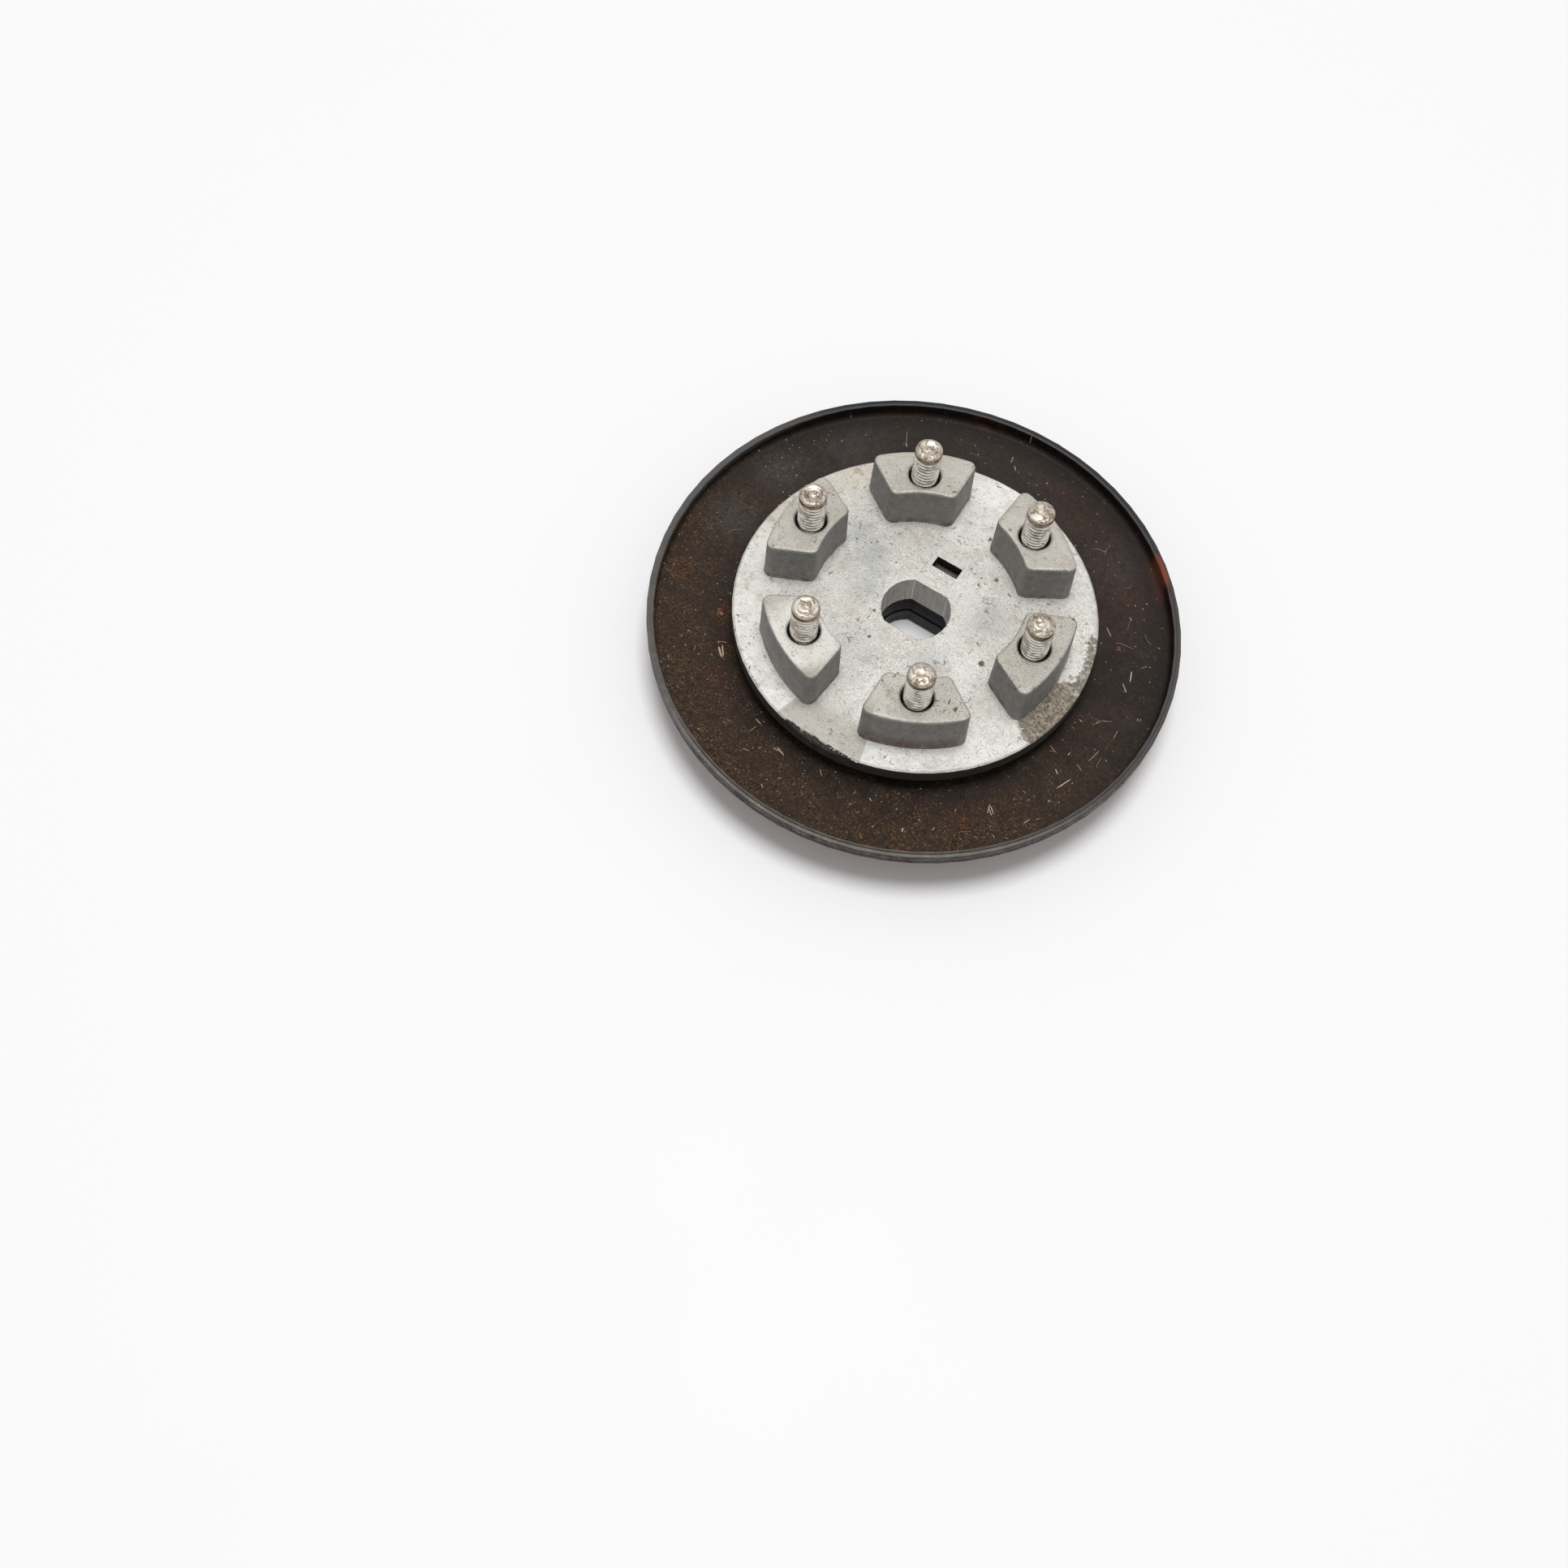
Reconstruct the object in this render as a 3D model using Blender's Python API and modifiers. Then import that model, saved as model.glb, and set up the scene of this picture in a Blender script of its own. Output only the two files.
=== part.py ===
"""Driven side of an electromagnetic clutch: a steel pan with a cast hub on top and a spring-hung
armature ring below. Metres, +Z up. The origin is on the bore axis, in the plane of the screw heads
that the part stands on; the flats of the bore face +Y and -Y and the key slot lies on +Y.
"""

from math import asin, atan2, cos, pi, radians, sin, sqrt, tan

import bmesh
import bpy
from mathutils import Matrix, Vector

# ------------------------------------------------------------------ driving dimensions (metres)
SEAT = 0.0003                # clearance kept between pieces that touch

SCREW_COUNT = 6
PITCH_CIRCLE = 0.055         # diameter that the screws stand on
SCREW_DIAMETER = 0.006
THREAD_PITCH = 0.001
THREAD_DEPTH = 0.0005
THREAD_TURNS = 10            # crests below the plain tip
SCREW_STANDOUT = 0.0093      # above the boss tops
THREAD_EASE = 0.00005        # crests inside the nominal diameter, on the radius
TIP_LENGTH = 0.0022          # plain, rounded end of a screw
TIP_FACE_RADIUS = 0.00185
TIP_ROUND = 0.0009           # height of the rounding round the tip
TIP_CROWN = 0.0002           # rise of the tip's face
HEAD_DIAMETER = 0.0104
HEAD_HEIGHT = 0.0026
HEAD_EDGE = 0.0005
SOCKET_FLATS = 0.004
SOCKET_DEPTH = 0.0014
WASHER_DIAMETER = 0.0118
WASHER_THICKNESS = 0.0007
WASHER_EDGE = 0.00015

BORE_DIAMETER = 0.015
BORE_FLATS = 0.0126
STACK_BORE_EASE = 0.0003     # radial, on the plates below the hub
DISC_DIAMETER = 0.0786
DISC_THICKNESS = 0.004
DISC_EDGE = 0.0004
REGISTER_DIAMETER = 0.068
REGISTER_HEIGHT = 0.0037
SCREW_HOLE = 0.007
HOLE_CHAMFER = 0.0003
SLOT_LENGTH = 0.0062
SLOT_WIDTH = 0.00275
SLOT_DISTANCE = 0.0129       # slot centre to bore axis
GATE_ANGLE = radians(-90.5)  # middle of the trimmed casting gate, from +X
GATE_HALF_ANGLE = radians(14)
GATE_SLOPE = radians(38)

BOSS_HEIGHT = 0.0106
BOSS_OUTER_RADIUS = 0.0336
BOSS_INNER_RADIUS = 0.0227
BOSS_HALF_WIDTH = 0.0096     # at the pitch circle
BOSS_SIDE_ANGLE = radians(27)
BOSS_CORNER_RADIUS = 0.0016
BOSS_DRAFT = radians(1.5)
BOSS_EDGE_RADIUS = 0.0006
BOSS_ROOT = 0.001            # buried in the disc

PAN_DIAMETER = 0.115
PAN_SHEET = 0.0015
PAN_DEPTH = 0.0073           # underside of the seat to the top of the rim
PAN_SEAT_RADIUS = 0.035
PAN_RISE = radians(7)        # slope of the floor outside the seat
PAN_BEND_RADIUS = 0.0012     # inside the bend
PAN_EDGE = 0.00025           # rounding of the rim

PLATE_DIAMETER = 0.066
PLATE_THICKNESS = 0.0018
COLLAR_DIAMETER = 0.022
COLLAR_THICKNESS = 0.0032
SPACER_SIDE_GAP = 0.0006     # spacer to the leaf springs
KEY_THICKNESS = 0.001
KEY_BELOW_DISC = 0.0035      # top of the key below the face of the disc

LEAF_COUNT = 3
LEAF_WIDTH = 0.011
LEAF_THICKNESS = 0.0006
RING_OUTER_DIAMETER = 0.100
RING_WIDTH = 0.0115
RING_THICKNESS = 0.0025
RING_EDGE = 0.0004
FACING_THICKNESS = 0.0012
FACING_INSET = 0.001         # facing edge inside the ring edge
RIVET_DIAMETER = 0.0032
RIVET_HEAD_DIAMETER = 0.0052
RIVET_HEAD_HEIGHT = 0.0004
RIVET_EDGE = 0.0002
PAD_DIAMETER = 0.006
PAD_EDGE = 0.0003

# ------------------------------------------------------------------ levels and radii worked out
PITCH_RADIUS = PITCH_CIRCLE / 2
HEAD_TOP = HEAD_HEIGHT
WASHER_BOTTOM = HEAD_TOP + SEAT
PLATE_BOTTOM = WASHER_BOTTOM + WASHER_THICKNESS + SEAT
PLATE_TOP = PLATE_BOTTOM + PLATE_THICKNESS
COLLAR_TOP = PLATE_BOTTOM - SEAT
LEAF_BOTTOM = PLATE_TOP + SEAT
LEAF_TOP = LEAF_BOTTOM + LEAF_THICKNESS
PAN_BOTTOM = LEAF_TOP + SEAT
HUB_BOTTOM = PAN_BOTTOM + PAN_SHEET + SEAT
DISC_BOTTOM = HUB_BOTTOM + REGISTER_HEIGHT
DISC_TOP = DISC_BOTTOM + DISC_THICKNESS
BOSS_TOP = DISC_TOP + BOSS_HEIGHT
TIP_TOP = BOSS_TOP + SCREW_STANDOUT
RING_TOP = LEAF_BOTTOM - SEAT
RING_BOTTOM = RING_TOP - RING_THICKNESS
FACING_TOP = RING_BOTTOM - SEAT
RING_OUTER_RADIUS = RING_OUTER_DIAMETER / 2
RING_INNER_RADIUS = RING_OUTER_RADIUS - RING_WIDTH
RING_MID_RADIUS = RING_OUTER_RADIUS - RING_WIDTH / 2
SCREW_STEP = 2 * pi / SCREW_COUNT
LEAF_STEP = 2 * pi / LEAF_COUNT
LEAF_LINE = PITCH_RADIUS * cos(SCREW_STEP / 2)
LEAF_ROOT = PITCH_RADIUS * sin(SCREW_STEP / 2)
LEAF_REACH = sqrt(RING_MID_RADIUS ** 2 - LEAF_LINE ** 2)
RIVET_ANGLE = atan2(LEAF_REACH, LEAF_LINE)

CUT_OVER = 0.001             # how far a cutter runs past the faces it opens
MERGE = 0.000001             # points closer than this are one
SMOOTH_ANGLE = radians(35)   # flatter corners are shaded round

ROUND_FINE = 64              # flats round a full turn, by size of piece
ROUND_MID = 36
ROUND_PIN = 24
ROUND_SMALL = 14
END_STEPS = 10               # flats round half a bore or the end of a strip
CORNER_STEPS = 3             # flats round a small corner
BEND_STEPS = 5               # flats round the bend of the pan


# ------------------------------------------------------------------ scene helpers
def clear_scene():
    for old in list(bpy.data.objects):
        bpy.data.objects.remove(old, do_unlink=True)


def new_collection(name):
    group = bpy.data.collections.new(name)
    bpy.context.scene.collection.children.link(group)
    return group


clear_scene()
PARTS = new_collection("electromagnetic_clutch")
CUTTERS = new_collection("cutters")


def metal(name, colour, metallic, roughness):
    mat = bpy.data.materials.new(name)
    mat.use_nodes = True
    shader = mat.node_tree.nodes["Principled BSDF"]
    shader.inputs["Base Color"].default_value = (*colour, 1.0)
    shader.inputs["Metallic"].default_value = metallic
    shader.inputs["Roughness"].default_value = roughness
    return mat


def add_part(obj, mat, parent=None):
    """Link a finished piece, give it its own material and shade its round sides smooth."""
    if obj.name not in PARTS.objects:
        PARTS.objects.link(obj)
    obj.data.materials.append(mat)
    obj.data.shade_smooth()
    obj.data.set_sharp_from_angle(angle=SMOOTH_ANGLE)
    obj.parent = parent
    return obj


def add_cutter(obj):
    CUTTERS.objects.link(obj)
    obj.hide_render = True
    obj.display_type = "WIRE"
    return obj


def boolean(obj, other, operation="DIFFERENCE"):
    mod = obj.modifiers.new(other.name, "BOOLEAN")
    mod.object = other
    mod.operation = operation
    mod.solver = "EXACT"


def finished_mesh(obj):
    """Mesh of a linked object with its curve filled or its modifiers applied."""
    bpy.context.view_layer.update()
    return bpy.data.meshes.new_from_object(obj.evaluated_get(bpy.context.evaluated_depsgraph_get()))


def mesh_object(name, bm):
    mesh = bpy.data.meshes.new(name)
    bmesh.ops.recalc_face_normals(bm, faces=bm.faces)
    bm.to_mesh(mesh)
    bm.free()
    return bpy.data.objects.new(name, mesh)


# ------------------------------------------------------------------ shape helpers
def polar(radius, angle):
    return (radius * cos(angle), radius * sin(angle))


def arc(centre, radius, start, end, steps):
    """Points along an arc, both ends included."""
    return [
        (centre[0] + radius * cos(start + (end - start) * i / steps),
         centre[1] + radius * sin(start + (end - start) * i / steps))
        for i in range(steps + 1)
    ]


def circle(centre, radius, steps):
    return arc(centre, radius, 0, 2 * pi, steps)[:-1]


def double_d(diameter, flats):
    """Round hole outline with two flats across Y."""
    radius = diameter / 2
    half_sweep = asin(flats / diameter)
    right = arc((0, 0), radius, -half_sweep, half_sweep, END_STEPS)
    left = arc((0, 0), radius, pi - half_sweep, pi + half_sweep, END_STEPS)
    return right + left


def rectangle(centre, width, height):
    x, y = centre
    return [(x - width / 2, y - height / 2), (x + width / 2, y - height / 2),
            (x + width / 2, y + height / 2), (x - width / 2, y + height / 2)]


def plate(name, outlines, bottom, top):
    """Flat sheet from closed outlines; the first is the edge and the others are holes."""
    curve = bpy.data.curves.new(name, "CURVE")
    curve.dimensions = "2D"
    curve.fill_mode = "BOTH"
    curve.extrude = (top - bottom) / 2
    for outline in outlines:
        spline = curve.splines.new("POLY")
        spline.points.add(len(outline) - 1)
        for point, (x, y) in zip(spline.points, outline):
            point.co = (x, y, 0, 1)
        spline.use_cyclic_u = True
    drawn = bpy.data.objects.new(name, curve)
    PARTS.objects.link(drawn)
    drawn.location.z = (top + bottom) / 2
    mesh = finished_mesh(drawn)
    place = drawn.matrix_world.copy()
    bpy.data.objects.remove(drawn)
    bm = bmesh.new()
    bm.from_mesh(mesh)
    bmesh.ops.remove_doubles(bm, verts=bm.verts, dist=MERGE)
    obj = mesh_object(name, bm)
    obj.matrix_world = place
    return obj


def turned(name, profile, steps, closed=False):
    """Solid of revolution about Z; the profile runs down its outer side.

    It is turned by half a facet, so that none of its edges runs through the middle of a hole.
    """
    mesh = bpy.data.meshes.new(name)
    edges = [(i, i + 1) for i in range(len(profile) - 1)]
    if closed:
        edges.append((len(profile) - 1, 0))
    mesh.from_pydata([(r, 0, z) for r, z in profile], edges, [])
    obj = bpy.data.objects.new(name, mesh)
    obj.rotation_euler.z = pi / steps
    mod = obj.modifiers.new("turn", "SCREW")
    mod.steps = steps
    mod.render_steps = steps
    mod.use_merge_vertices = True
    mod.merge_threshold = MERGE
    mod.use_smooth_shade = True
    return obj


def pin_cutter(name, centres, radius, bottom, top, top_radius=None):
    """Upright round pins in one mesh, straight or opening out towards the top."""
    bm = bmesh.new()
    for x, y in centres:
        place = Matrix.Translation((x, y, (bottom + top) / 2))
        bmesh.ops.create_cone(bm, cap_ends=True, segments=ROUND_PIN, radius1=radius,
                              radius2=top_radius or radius, depth=top - bottom, matrix=place)
    return add_cutter(mesh_object(name, bm))


def prism_cutter(name, outline, bottom, top):
    """Straight prism over a convex outline."""
    bm = bmesh.new()
    ring = [bm.verts.new((x, y, bottom)) for x, y in outline]
    floor = bm.faces.new(ring)
    raised = bmesh.ops.extrude_face_region(bm, geom=[floor])
    lifted = [v for v in raised["geom"] if isinstance(v, bmesh.types.BMVert)]
    bmesh.ops.translate(bm, verts=lifted, vec=(0, 0, top - bottom))
    return add_cutter(mesh_object(name, bm))


def screw_centres():
    return [polar(PITCH_RADIUS, i * SCREW_STEP) for i in range(SCREW_COUNT)]


def leaf_angles():
    """Direction of each leaf spring's normal: halfway between two screws, every other pair."""
    return [SCREW_STEP / 2 + i * LEAF_STEP for i in range(LEAF_COUNT)]


# ------------------------------------------------------------------ hub casting
def boss_half_outline(inset):
    """Half of a boss outline in its own frame (radial +X), from outer middle to inner middle."""
    corner = BOSS_CORNER_RADIUS
    along = Vector((cos(BOSS_SIDE_ANGLE), sin(BOSS_SIDE_ANGLE)))
    normal = Vector((-sin(BOSS_SIDE_ANGLE), cos(BOSS_SIDE_ANGLE)))
    start = Vector((PITCH_RADIUS, BOSS_HALF_WIDTH)) - normal * corner

    def corner_centre(reach):
        half = start.dot(along)
        return start + along * (-half + sqrt(half ** 2 - start.length_squared + reach ** 2))

    outer = corner_centre(BOSS_OUTER_RADIUS - corner)
    inner = corner_centre(BOSS_INNER_RADIUS + corner)
    outer_angle = atan2(outer.y, outer.x)
    inner_angle = atan2(inner.y, inner.x)
    side_angle = pi / 2 + BOSS_SIDE_ANGLE
    points = arc((0, 0), BOSS_OUTER_RADIUS - inset, 0, outer_angle, CORNER_STEPS + 1)
    points += arc(outer, corner - inset, outer_angle, side_angle, CORNER_STEPS)[1:]
    points += arc(inner, corner - inset, side_angle, pi + inner_angle, CORNER_STEPS)
    points += arc((0, 0), BOSS_INNER_RADIUS + inset, inner_angle, 0, CORNER_STEPS)[1:]
    return points


def boss_outline(inset):
    half = boss_half_outline(inset)
    return half + [(x, -y) for x, y in reversed(half[1:-1])]


def add_boss(bm, angle):
    """One drafted standing boss with rounded upper edges, lofted through level outlines."""
    flare = (BOSS_HEIGHT + BOSS_ROOT) * tan(BOSS_DRAFT)
    shoulder = BOSS_TOP - BOSS_EDGE_RADIUS
    levels = [(DISC_TOP - BOSS_ROOT, -flare), (shoulder, 0)]
    for turn in (radians(45), radians(90)):
        levels.append((shoulder + BOSS_EDGE_RADIUS * sin(turn), BOSS_EDGE_RADIUS * (1 - cos(turn))))
    spin = Matrix.Rotation(angle, 4, "Z")
    rings = [
        [bm.verts.new(spin @ Vector((x, y, z))) for x, y in boss_outline(inset)]
        for z, inset in levels
    ]
    for below, above in zip(rings, rings[1:]):
        for i in range(len(below)):
            j = (i + 1) % len(below)
            bm.faces.new((below[i], below[j], above[j], above[i]))
    bm.faces.new(rings[-1])
    bm.faces.new(list(reversed(rings[0])))


def make_bosses():
    bm = bmesh.new()
    for i in range(SCREW_COUNT):
        add_boss(bm, i * SCREW_STEP)
    return add_cutter(mesh_object("boss_shapes", bm))


def make_gate_cutter():
    """Tilted block that trims a sloped flat off the edge of the disc where the metal was poured."""
    size = DISC_DIAMETER / 2
    chord = size * cos(GATE_HALF_ANGLE)
    bm = bmesh.new()
    bmesh.ops.create_cube(bm, size=size)
    lean = Matrix.Rotation(GATE_SLOPE - pi / 2, 4, "Y")
    move = Matrix.Translation((chord, 0, DISC_TOP))
    shift = Matrix.Translation((size / 2, 0, 0))
    bmesh.ops.transform(bm, verts=bm.verts, matrix=Matrix.Rotation(GATE_ANGLE, 4, "Z") @ move @ lean @ shift)
    return add_cutter(mesh_object("gate_trim", bm))


def make_hub():
    edge = DISC_EDGE
    disc = DISC_DIAMETER / 2
    register = REGISTER_DIAMETER / 2
    profile = [(0, DISC_TOP), (disc - edge, DISC_TOP), (disc, DISC_TOP - edge), (disc, DISC_BOTTOM + edge),
               (disc - edge, DISC_BOTTOM), (register, DISC_BOTTOM), (register, HUB_BOTTOM + edge),
               (register - edge, HUB_BOTTOM), (0, HUB_BOTTOM)]
    hub = turned("hub_casting", profile, ROUND_FINE)
    low = HUB_BOTTOM - CUT_OVER
    high = DISC_TOP + CUT_OVER
    hole = SCREW_HOLE / 2
    boolean(hub, prism_cutter("bore", double_d(BORE_DIAMETER, BORE_FLATS), low, high))
    boolean(hub, prism_cutter("slot", rectangle((0, SLOT_DISTANCE), SLOT_LENGTH, SLOT_WIDTH), low, high))
    boolean(hub, make_gate_cutter())
    boolean(hub, make_bosses(), "UNION")
    boolean(hub, pin_cutter("screw_holes", screw_centres(), hole, low, BOSS_TOP + CUT_OVER))
    boolean(hub, pin_cutter("hole_chamfers", screw_centres(), hole - CUT_OVER,
                            BOSS_TOP - HOLE_CHAMFER - CUT_OVER, BOSS_TOP + CUT_OVER,
                            hole + HOLE_CHAMFER + CUT_OVER))
    return add_part(hub, metal("cast_aluminium", (0.56, 0.54, 0.51), 0.85, 0.5))


# ------------------------------------------------------------------ pan and the plates under the hub
def pan_underside(radius):
    return PAN_BOTTOM + max(0.0, radius - PAN_SEAT_RADIUS) * tan(PAN_RISE)


def pan_profile():
    """Sheet section from the axis out to the upright rim and back along the underside."""
    outside = PAN_DIAMETER / 2
    bend_out = PAN_BEND_RADIUS + PAN_SHEET
    centre_r = outside - bend_out
    touch_r = centre_r + bend_out * sin(PAN_RISE)
    centre_z = pan_underside(touch_r) + bend_out * cos(PAN_RISE)
    rim = PAN_BOTTOM + PAN_DEPTH
    lift = PAN_SHEET / cos(PAN_RISE)
    seat_top = PAN_BOTTOM + PAN_SHEET
    knee = PAN_SEAT_RADIUS - (lift - PAN_SHEET) / tan(PAN_RISE)
    edge = PAN_EDGE
    slope_end = -pi / 2 + PAN_RISE
    inner_bend = arc((centre_r, centre_z), PAN_BEND_RADIUS, slope_end, 0, BEND_STEPS)
    outer_bend = arc((centre_r, centre_z), bend_out, 0, slope_end, BEND_STEPS)
    inside = outside - PAN_SHEET
    return ([(0, seat_top), (knee, seat_top)] + inner_bend
            + [(inside, rim - edge), (inside + edge, rim), (outside - edge, rim), (outside, rim - edge)]
            + outer_bend + [(PAN_SEAT_RADIUS, PAN_BOTTOM), (0, PAN_BOTTOM)])


def stack_bore():
    ease = 2 * STACK_BORE_EASE
    return double_d(BORE_DIAMETER + ease, BORE_FLATS + ease)


def key_outline(gap):
    return rectangle((0, SLOT_DISTANCE), SLOT_LENGTH - 2 * SEAT + 2 * gap, KEY_THICKNESS + 2 * gap)


def shank_hole_radius():
    return SCREW_DIAMETER / 2 + SEAT


def make_pan():
    pan = turned("pan", pan_profile(), ROUND_FINE)
    low = PAN_BOTTOM - CUT_OVER
    high = PAN_BOTTOM + PAN_SHEET + CUT_OVER
    boolean(pan, prism_cutter("pan_bore", stack_bore(), low, high))
    boolean(pan, prism_cutter("pan_key_slot", key_outline(SEAT), low, high))
    boolean(pan, pin_cutter("pan_screw_holes", screw_centres(), shank_hole_radius(), low, high))
    return add_part(pan, metal("oiled_steel_sheet", (0.035, 0.027, 0.022), 0.6, 0.45))


def make_spacer():
    radius = LEAF_LINE - LEAF_WIDTH / 2 - SPACER_SIDE_GAP
    outlines = [circle((0, 0), radius, ROUND_MID), stack_bore(), key_outline(SEAT)]
    spacer = plate("spacer", outlines, LEAF_BOTTOM, LEAF_TOP)
    return add_part(spacer, metal("blued_steel_shim", (0.03, 0.03, 0.035), 0.8, 0.35))


def make_backing_plate():
    holes = [circle(centre, shank_hole_radius(), ROUND_SMALL) for centre in screw_centres()]
    outlines = [circle((0, 0), PLATE_DIAMETER / 2, ROUND_FINE), stack_bore(), key_outline(SEAT)] + holes
    backing = plate("backing_plate", outlines, PLATE_BOTTOM, PLATE_TOP)
    return add_part(backing, metal("black_steel_plate", (0.02, 0.02, 0.022), 0.75, 0.4))


def make_collar():
    outlines = [circle((0, 0), COLLAR_DIAMETER / 2, ROUND_MID), double_d(BORE_DIAMETER, BORE_FLATS)]
    collar = plate("bore_collar", outlines, COLLAR_TOP - COLLAR_THICKNESS, COLLAR_TOP)
    return add_part(collar, metal("black_steel_collar", (0.025, 0.025, 0.027), 0.8, 0.35))


def make_key():
    """Flat key that stands in the slots of the plate, the pan and the hub."""
    top = DISC_TOP - KEY_BELOW_DISC
    key = plate("locating_key", [key_outline(0)], PLATE_BOTTOM, top)
    return add_part(key, metal("bright_steel_key", (0.42, 0.41, 0.39), 1.0, 0.3))


# ------------------------------------------------------------------ screws and washers
def screw_profile():
    """Half section of a screw about its own axis, tip first, at its real height."""
    crest = SCREW_DIAMETER / 2 - THREAD_EASE
    root = crest - THREAD_DEPTH
    round_width = crest - TIP_FACE_RADIUS
    round_foot = TIP_TOP - TIP_CROWN - TIP_ROUND
    points = [(0, TIP_TOP), (TIP_FACE_RADIUS / 2, TIP_TOP - TIP_CROWN / 4)]
    for turn in (radians(90), radians(60), radians(30), 0):
        points.append((TIP_FACE_RADIUS + round_width * cos(turn), round_foot + TIP_ROUND * sin(turn)))
    thread_top = TIP_TOP - TIP_LENGTH
    points.append((crest, thread_top + THREAD_PITCH / 4))
    for i in range(THREAD_TURNS):
        level = thread_top - i * THREAD_PITCH
        points += [(root, level), (crest, level - THREAD_PITCH / 2)]
    thread_end = thread_top - THREAD_TURNS * THREAD_PITCH
    head = HEAD_DIAMETER / 2
    edge = HEAD_EDGE
    points += [(root, thread_end), (crest, thread_end - THREAD_PITCH / 2), (crest, HEAD_TOP),
               (head - edge, HEAD_TOP), (head, HEAD_TOP - edge), (head, edge), (head - edge, 0), (0, 0)]
    return points


def socket_cutter(name):
    corner = SOCKET_FLATS / 2 / cos(pi / 6)
    return prism_cutter(name, circle((0, 0), corner, 6), -CUT_OVER, SOCKET_DEPTH)


def make_screws():
    plated = metal("plated_screw", (0.60, 0.57, 0.52), 1.0, 0.28)
    socket = socket_cutter("screw_socket")
    first = turned("screw_1", screw_profile(), ROUND_SMALL)
    bpy.context.scene.collection.objects.link(first)
    boolean(first, socket)
    mesh = finished_mesh(first)
    bpy.data.objects.remove(first)
    bpy.data.objects.remove(socket)
    mesh.materials.append(plated)
    mesh.shade_smooth()
    mesh.set_sharp_from_angle(angle=SMOOTH_ANGLE)
    for i, (x, y) in enumerate(screw_centres()):
        screw = bpy.data.objects.new("screw_%d" % (i + 1), mesh)
        screw.location = (x, y, 0)
        PARTS.objects.link(screw)


def make_washers():
    zinc = metal("zinc_washer", (0.45, 0.45, 0.44), 1.0, 0.35)
    inner = shank_hole_radius()
    outer = WASHER_DIAMETER / 2
    top = WASHER_BOTTOM + WASHER_THICKNESS
    profile = [(inner, top), (outer - WASHER_EDGE, top), (outer, top - WASHER_EDGE),
               (outer, WASHER_BOTTOM), (inner, WASHER_BOTTOM)]
    for i, (x, y) in enumerate(screw_centres()):
        washer = turned("washer_%d" % (i + 1), profile, ROUND_SMALL, closed=True)
        washer.location = (x, y, 0)
        add_part(washer, zinc)


# ------------------------------------------------------------------ armature and its leaf springs
def ring_profile(inner, outer, bottom, top):
    """Flat ring with its outer corners taken off."""
    edge = RING_EDGE
    return [(inner, top), (outer - edge, top), (outer, top - edge), (outer, bottom + edge),
            (outer - edge, bottom), (inner, bottom)]


def rivet_centres():
    return [polar(RING_MID_RADIUS, angle + RIVET_ANGLE) for angle in leaf_angles()]


def make_armature(hanger):
    ring = turned("armature_ring", ring_profile(RING_INNER_RADIUS, RING_OUTER_RADIUS, RING_BOTTOM, RING_TOP),
                  ROUND_FINE, closed=True)
    boolean(ring, pin_cutter("rivet_holes", rivet_centres(), RIVET_DIAMETER / 2 + SEAT,
                             RING_BOTTOM - CUT_OVER, RING_TOP + CUT_OVER))
    add_part(ring, metal("armature_steel", (0.13, 0.125, 0.12), 0.9, 0.4), hanger)
    section = ring_profile(RING_INNER_RADIUS + FACING_INSET, RING_OUTER_RADIUS - FACING_INSET,
                           FACING_TOP - FACING_THICKNESS, FACING_TOP)
    facing = turned("friction_facing", section, ROUND_FINE, closed=True)
    add_part(facing, metal("friction_material", (0.16, 0.025, 0.018), 0.0, 0.75), hanger)


def make_rivets(hanger):
    """Rivets that hold the free ends of the leaf springs to the ring, flush below."""
    steel = metal("rivet_steel", (0.30, 0.29, 0.28), 1.0, 0.35)
    shank = RIVET_DIAMETER / 2
    head = RIVET_HEAD_DIAMETER / 2
    low = LEAF_TOP + SEAT
    high = low + RIVET_HEAD_HEIGHT
    profile = [(0, high), (head - RIVET_EDGE, high), (head, high - RIVET_EDGE), (head, low), (shank, low),
               (shank, RING_BOTTOM), (0, RING_BOTTOM)]
    for i, (x, y) in enumerate(rivet_centres()):
        rivet = turned("armature_rivet_%d" % (i + 1), profile, ROUND_SMALL)
        rivet.location = (x, y, 0)
        add_part(rivet, steel, hanger)


def make_stop_pads(hanger):
    """Rubber pads on the ring that meet the pan when the leaf springs draw the ring back."""
    rubber = metal("stop_rubber", (0.015, 0.015, 0.015), 0.0, 0.8)
    radius = PAD_DIAMETER / 2
    low = RING_TOP + SEAT
    high = pan_underside(RING_MID_RADIUS - radius) - SEAT
    profile = [(0, high), (radius - PAD_EDGE, high), (radius, high - PAD_EDGE), (radius, low), (0, low)]
    for i, angle in enumerate(leaf_angles()):
        pad = turned("stop_pad_%d" % (i + 1), profile, ROUND_SMALL)
        x, y = polar(RING_MID_RADIUS, angle + RIVET_ANGLE + LEAF_STEP / 2)
        pad.location = (x, y, 0)
        add_part(pad, rubber, hanger)


def leaf_outline():
    """Straight strip with round ends, clamped at two screws and reaching on to its rivet."""
    half = LEAF_WIDTH / 2
    far_end = arc((LEAF_LINE, LEAF_REACH), half, 0, pi, END_STEPS)
    near_end = arc((LEAF_LINE, -LEAF_ROOT), half, pi, 2 * pi, END_STEPS)
    return far_end + near_end


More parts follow.
